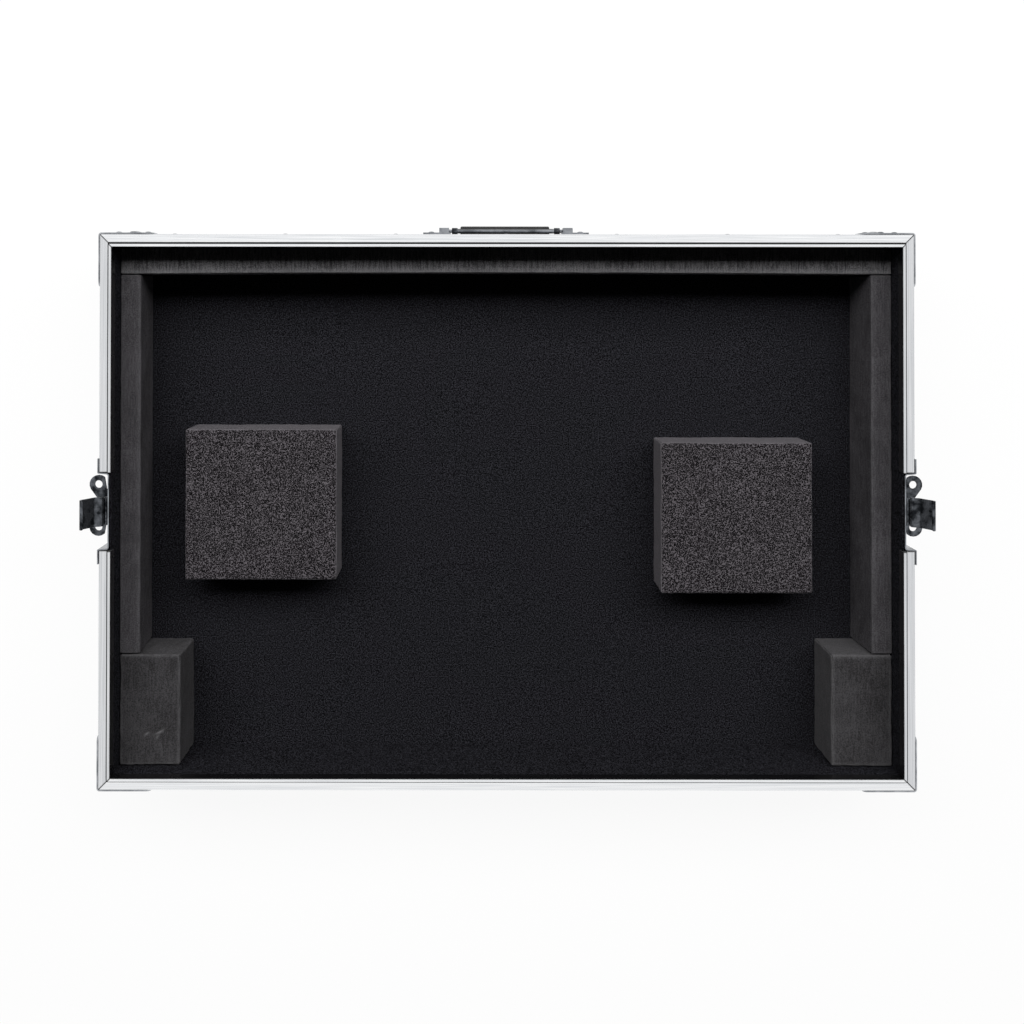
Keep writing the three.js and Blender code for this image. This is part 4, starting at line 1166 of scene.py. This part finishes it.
# %% [markdown]
# The strips and corner blocks are firm, so their edges are nearly sharp. Hand cutting shows: one
# side strip is a little narrower at the foot, the other wider, and the front one bows back in the
# middle. Rubbing has made the edges paler. The front strip's edges are painted much paler still,
# which is mostly a painted highlight where its edge catches the light. The right corner block was
# nicked by a knife, and its short pale strokes are torn cells and a painted highlight on their
# slopes.

# %% Dense foam strips and corner blocks
STRIP_EDGE, STRIP_STEP, STRIP_DEPTH = 1.6, 4, 0.45
BLOCK_EDGE, BLOCK_STEP, NICKED_STEP = 2.4, 3, 1.2
BOW = 1.5
NICKS = ((369.5, 236, 35, 3.0, 1.2), (356.0, 234, 30, 4.5, 1.5), (358.5, 239, 55, 3.0, 1.0))
NICK_HALF_WIDTH = 1.1
TOP_LAYER = 4
FACE_MARGIN = 0.3


def nick_bells(points):
    """Narrow bell curves on the top face. A nick is x, y, turn in degrees, half length, depth."""
    deepest = np.zeros(len(points))
    for x_place, y_place, degrees, reach, deep in NICKS:
        x, y = (points[:, :2] - (x_place, y_place)).T
        cosine, sine = np.cos(np.radians(degrees)), np.sin(np.radians(degrees))
        along, across = x * cosine + y * sine, y * cosine - x * sine
        bell = np.exp(-(along / reach) ** 2 - (across / NICK_HALF_WIDTH) ** 2)
        deepest = np.maximum(deepest, deep * bell)
    return deepest * (points[:, 2] > points[:, 2].max() - TOP_LAYER)


def nicked_relief(seed, depth):
    """A cut face's relief, less the nicks."""
    plain = cut_relief(seed, depth)
    return lambda points, outward: plain(points, outward) - nick_bells(points)


def upright_faces(share):
    """A function of the points: the share on the upright faces of a block, and 0 on the others."""
    def on_upright(points):
        x, y, z = to_sides(points).T
        return share * ((np.minimum(x, y) < z) & (z > FACE_MARGIN))
    return on_upright


def nicked_block(points):
    """The right corner block: the nicks are pale, for torn cells and a painted highlight on their
    lit slopes, and its sides slightly so, for torn cells.
    """
    return np.maximum(0.3 * nick_bells(points), upright_faces(0.07)(points))


def undercut(reach):
    """Moves a side strip's inner face towards the wall, by reach at the foot and 0 at the top."""
    def bend(points):
        x, z = np.abs(points[:, 0]), points[:, 2]
        inner = (x.max() - x) / np.ptp(x)
        foot = (z.max() - z) / np.ptp(z)
        x = x + reach * np.clip(inner * 2 - 1, 0, 1) * foot
        return np.stack([np.sign(points[:, 0]) * x, points[:, 1], z], axis=1)
    return bend


def bowed(points):
    """Draws the front strip's inner face back by a parabola, the most in the middle."""
    x, y = points[:, 0], points[:, 1]
    inner = (y - y.min()) / np.ptp(y)
    y = y - BOW * inner * (1 - (x / np.abs(x).max()) ** 2)
    return np.stack([x, y, points[:, 2]], axis=1)


firm = {"fill": 0.95, "slot": "dense_foam"}
for side, seed, reach in (("left", 7, -3.0), ("right", 12, 4.3)):
    cut = side_foam, cut_relief(seed, STRIP_DEPTH), STRIP_EDGE, STRIP_STEP
    dress_foam(side + "_foam_strip", *cut, **firm, bend=undercut(reach), edge_paleness=0.12)
cut = front_foam, cut_relief(seed=3, depth=STRIP_DEPTH), STRIP_EDGE, STRIP_STEP
# Its edge paleness of 0.6 is mostly a painted highlight on its lit edge, and partly rubbing.
dress_foam("front_foam_strip", *cut, **firm, bend=bowed, edge_paleness=0.6)
cut = block_foam, cut_relief(seed=21, depth=0.7), BLOCK_EDGE, BLOCK_STEP
dress_foam("left_foam_corner_block", *cut, **firm, edge_paleness=0.2, extra_paleness=upright_faces(0.15))
cut = block_foam, nicked_relief(seed=29, depth=1.0), BLOCK_EDGE, NICKED_STEP
dress_foam("right_foam_corner_block", *cut, **firm, edge_paleness=0.2, extra_paleness=nicked_block)

# %% [markdown]
# The two pads are the same kind of block, softer and a little rounder at the edges.

# %% Open-cell pads
PAD_EDGE, PAD_STEP, PAD_DEPTH = 2.2, 3, 0.6

soft = {"fill": 0.7, "slot": "open_cell_foam"}
for side, seed in (("left", 41), ("right", 47)):
    cut = pad_foam, cut_relief(seed, PAD_DEPTH), PAD_EDGE, PAD_STEP
    # The pads' upright faces take a pale share of 0.65: smoother closed skin, and painted light.
    dress_foam(side + "_foam_pad", *cut, **soft, extra_paleness=upright_faces(0.65))

# %% [markdown]
# The floor lining is one sheet glued to the panel. It is a block too, but a thin one, with a slow
# ripple where the glue pulled it. The wall lining is four sheets, and the two at the sides are
# pressed in where the latch dishes stand behind them.

# %% Lining sheets
SHEET = 2.5
SHEET_EDGE = 0.6
SHEET_STEP = 9
SHEET_GAP = 0.2
RIPPLE, RIPPLE_LENGTH = 0.1, 90
DISH_BACK = 399.5


def sheet(low, high, seed):
    """A glued sheet: a thin block with a slow ripple of a tenth of a millimetre."""
    def relief(points, _):
        return RIPPLE * np.minimum(waves(points, RIPPLE_LENGTH, seed) - 1, 0)
    return foam_block(low, high, SHEET_EDGE, SHEET_STEP, relief)


def pressed_by_dish(points):
    """Side sheet points behind a dish lie no further out than the dish's back."""
    dish_low = box_mm("right_latch_dish")[0]
    behind = (np.abs(points[:, 1] - CENTRING) < DISH_GAP) & (points[:, 2] > dish_low[2])
    limit = np.where(behind, DISH_BACK, np.inf)
    points[:, 0] = np.sign(points[:, 0]) * np.minimum(np.abs(points[:, 0]), limit)
    return points


def wall_sheets():
    """Four upright sheets round the inside. The side ones stop short of the front and rear ones."""
    low, high = box_mm("wall_lining")
    sheets = []
    for at, seed in ((low[1], 61), (high[1] - SHEET, 62)):
        sheets.append(sheet((low[0], at, low[2]), (high[0], at + SHEET, high[2]), seed))
    near, far = low[1] + SHEET + SHEET_GAP, high[1] - SHEET - SHEET_GAP
    for at, seed in ((low[0], 63), (high[0] - SHEET, 64)):
        points, faces = sheet((at, near, low[2]), (at + SHEET, far, high[2]), seed)
        sheets.append((pressed_by_dish(points), faces))
    return together(sheets)


floor_sheet = sheet(*box_mm("floor_lining"), seed=5)
for node, ending, surface in (
    ("floor_lining", "_sheet", floor_sheet), ("wall_lining", "_sheets", wall_sheets())
):
    piece = piece_from(node + ending, surface, sheet_foam, "case", "eva_lining", node)

# %% [markdown]
# The background is white because the floor and the room are white to the camera and to anything
# that mirrors them, while the light that falls on the case is plain and modest. A Light Path node
# tells these rays apart. The floor keeps a share of its own shading, and so the case's shadow.

# %% Floor and room
OWN_WHITE = 0.93
FLOOR_HALF = 6.0
WHITE = (1, 1, 1, 1)


def white_to_eye(tree):
    """1 for camera, glossy and transmission rays, and 0 for the rays that light the case."""
    names = "Is Camera Ray", "Is Glossy Ray", "Is Transmission Ray"
    seen, mirrored, through = [add(tree, "LightPath", output=name) for name in names]
    two = add(tree, "Math", {"Value": seen, "Value_001": mirrored}, operation="MAXIMUM")
    return add(tree, "Math", {"Value": two, "Value_001": through}, operation="MAXIMUM")


def pale_floor():
    """A matt white floor, which shows the eye mostly its own white and partly its shading."""
    material, tree, _ = start("pale_studio_floor")
    glow = add(tree, "Emission", values={"Color": WHITE, "Strength": 1.0})
    eye_only = {"Value": white_to_eye(tree)}
    share = add(tree, "Math", eye_only, {"Value_001": OWN_WHITE}, operation="MULTIPLY")
    shading = tree.nodes["Principled BSDF"].outputs["BSDF"]
    links = {"Fac": share, "Shader": shading, "Shader_001": glow}
    mixed = add(tree, "MixShader", links)
    tree.links.new(mixed, tree.nodes["Material Output"].inputs["Surface"])
    return finish(material, {"Base Color": linear("#f4f4f4"), "Roughness": 0.9})


floor_mesh = bpy.data.meshes.new("studio_floor")
floor_corners = FLOOR_HALF * np.array([(-1, -1, 0), (1, -1, 0), (1, 1, 0), (-1, 1, 0)])
floor_mesh.from_pydata(floor_corners, [], [(0, 1, 2, 3)])
floor_mesh.materials.append(pale_floor())
floor = new_object("studio_floor", floor_mesh)
# The pads are softer open-cell foam. The knife opens every cell that it meets, and each opened cell
# is a dark hole between paler struts. Voronoi cells give the holes, and a fine noise breaks them
# up. The cells of such foam are 1 to 2 mm wide, which the picture can just hold. The upright faces
# were sawn in the factory, which closed their cells, so they are smoother. They are also painted
# paler, which is painted light for the brighter look of the pads' front faces.

room = bpy.data.worlds.new("soft_room")
room.use_nodes = True
bpy.context.scene.world = room
tree = room.node_tree
tones = {"A_Color": linear("#1e1e1e"), "B_Color": WHITE}
colour = add(tree, "Mix", {"Factor_Float": white_to_eye(tree)}, tones, data_type="RGBA")
tree.links.new(colour, tree.nodes["Background"].inputs["Color"])

# %% [markdown]
# In the photograph each block's shadow is nearly black beside it and fades out over a distance
# like its height. So the light is one wide panel on the handle's side, about 3 m away and 37
# degrees from upright. It is long from left to right, because the pads throw a weak shadow to
# both sides as well. A photographer takes most of such a panel's glare out of bare metal with a
# polariser. Here, the panel lights only matt surfaces, and a second one at its place, much
# weaker, gives the metal its glints.

# %% Lamps
LAMP_PLACE = Vector((0.0, -1.8, 2.4))
LAMP_LENGTH = 8.0
LAMP_WIDTH = 1.4
LAMPS = (("soft_panel", 225, True, False), ("glint_panel", 62, False, True))

for name, watts, on_matt, on_metal in LAMPS:
    lamp = new_object(name, bpy.data.lights.new(name, "AREA"))
    lamp.data.shape = "RECTANGLE"
    lamp.data.size, lamp.data.size_y = LAMP_LENGTH, LAMP_WIDTH
    lamp.data.energy = watts
    lamp.visible_diffuse, lamp.visible_glossy = on_matt, on_metal
    lamp.location = LAMP_PLACE
    lamp.rotation_euler = (-LAMP_PLACE).to_track_quat("-Z", "Y").to_euler()
    print(name, "brightness:", round(watts / (np.pi * LAMP_LENGTH * LAMP_WIDTH), 2))
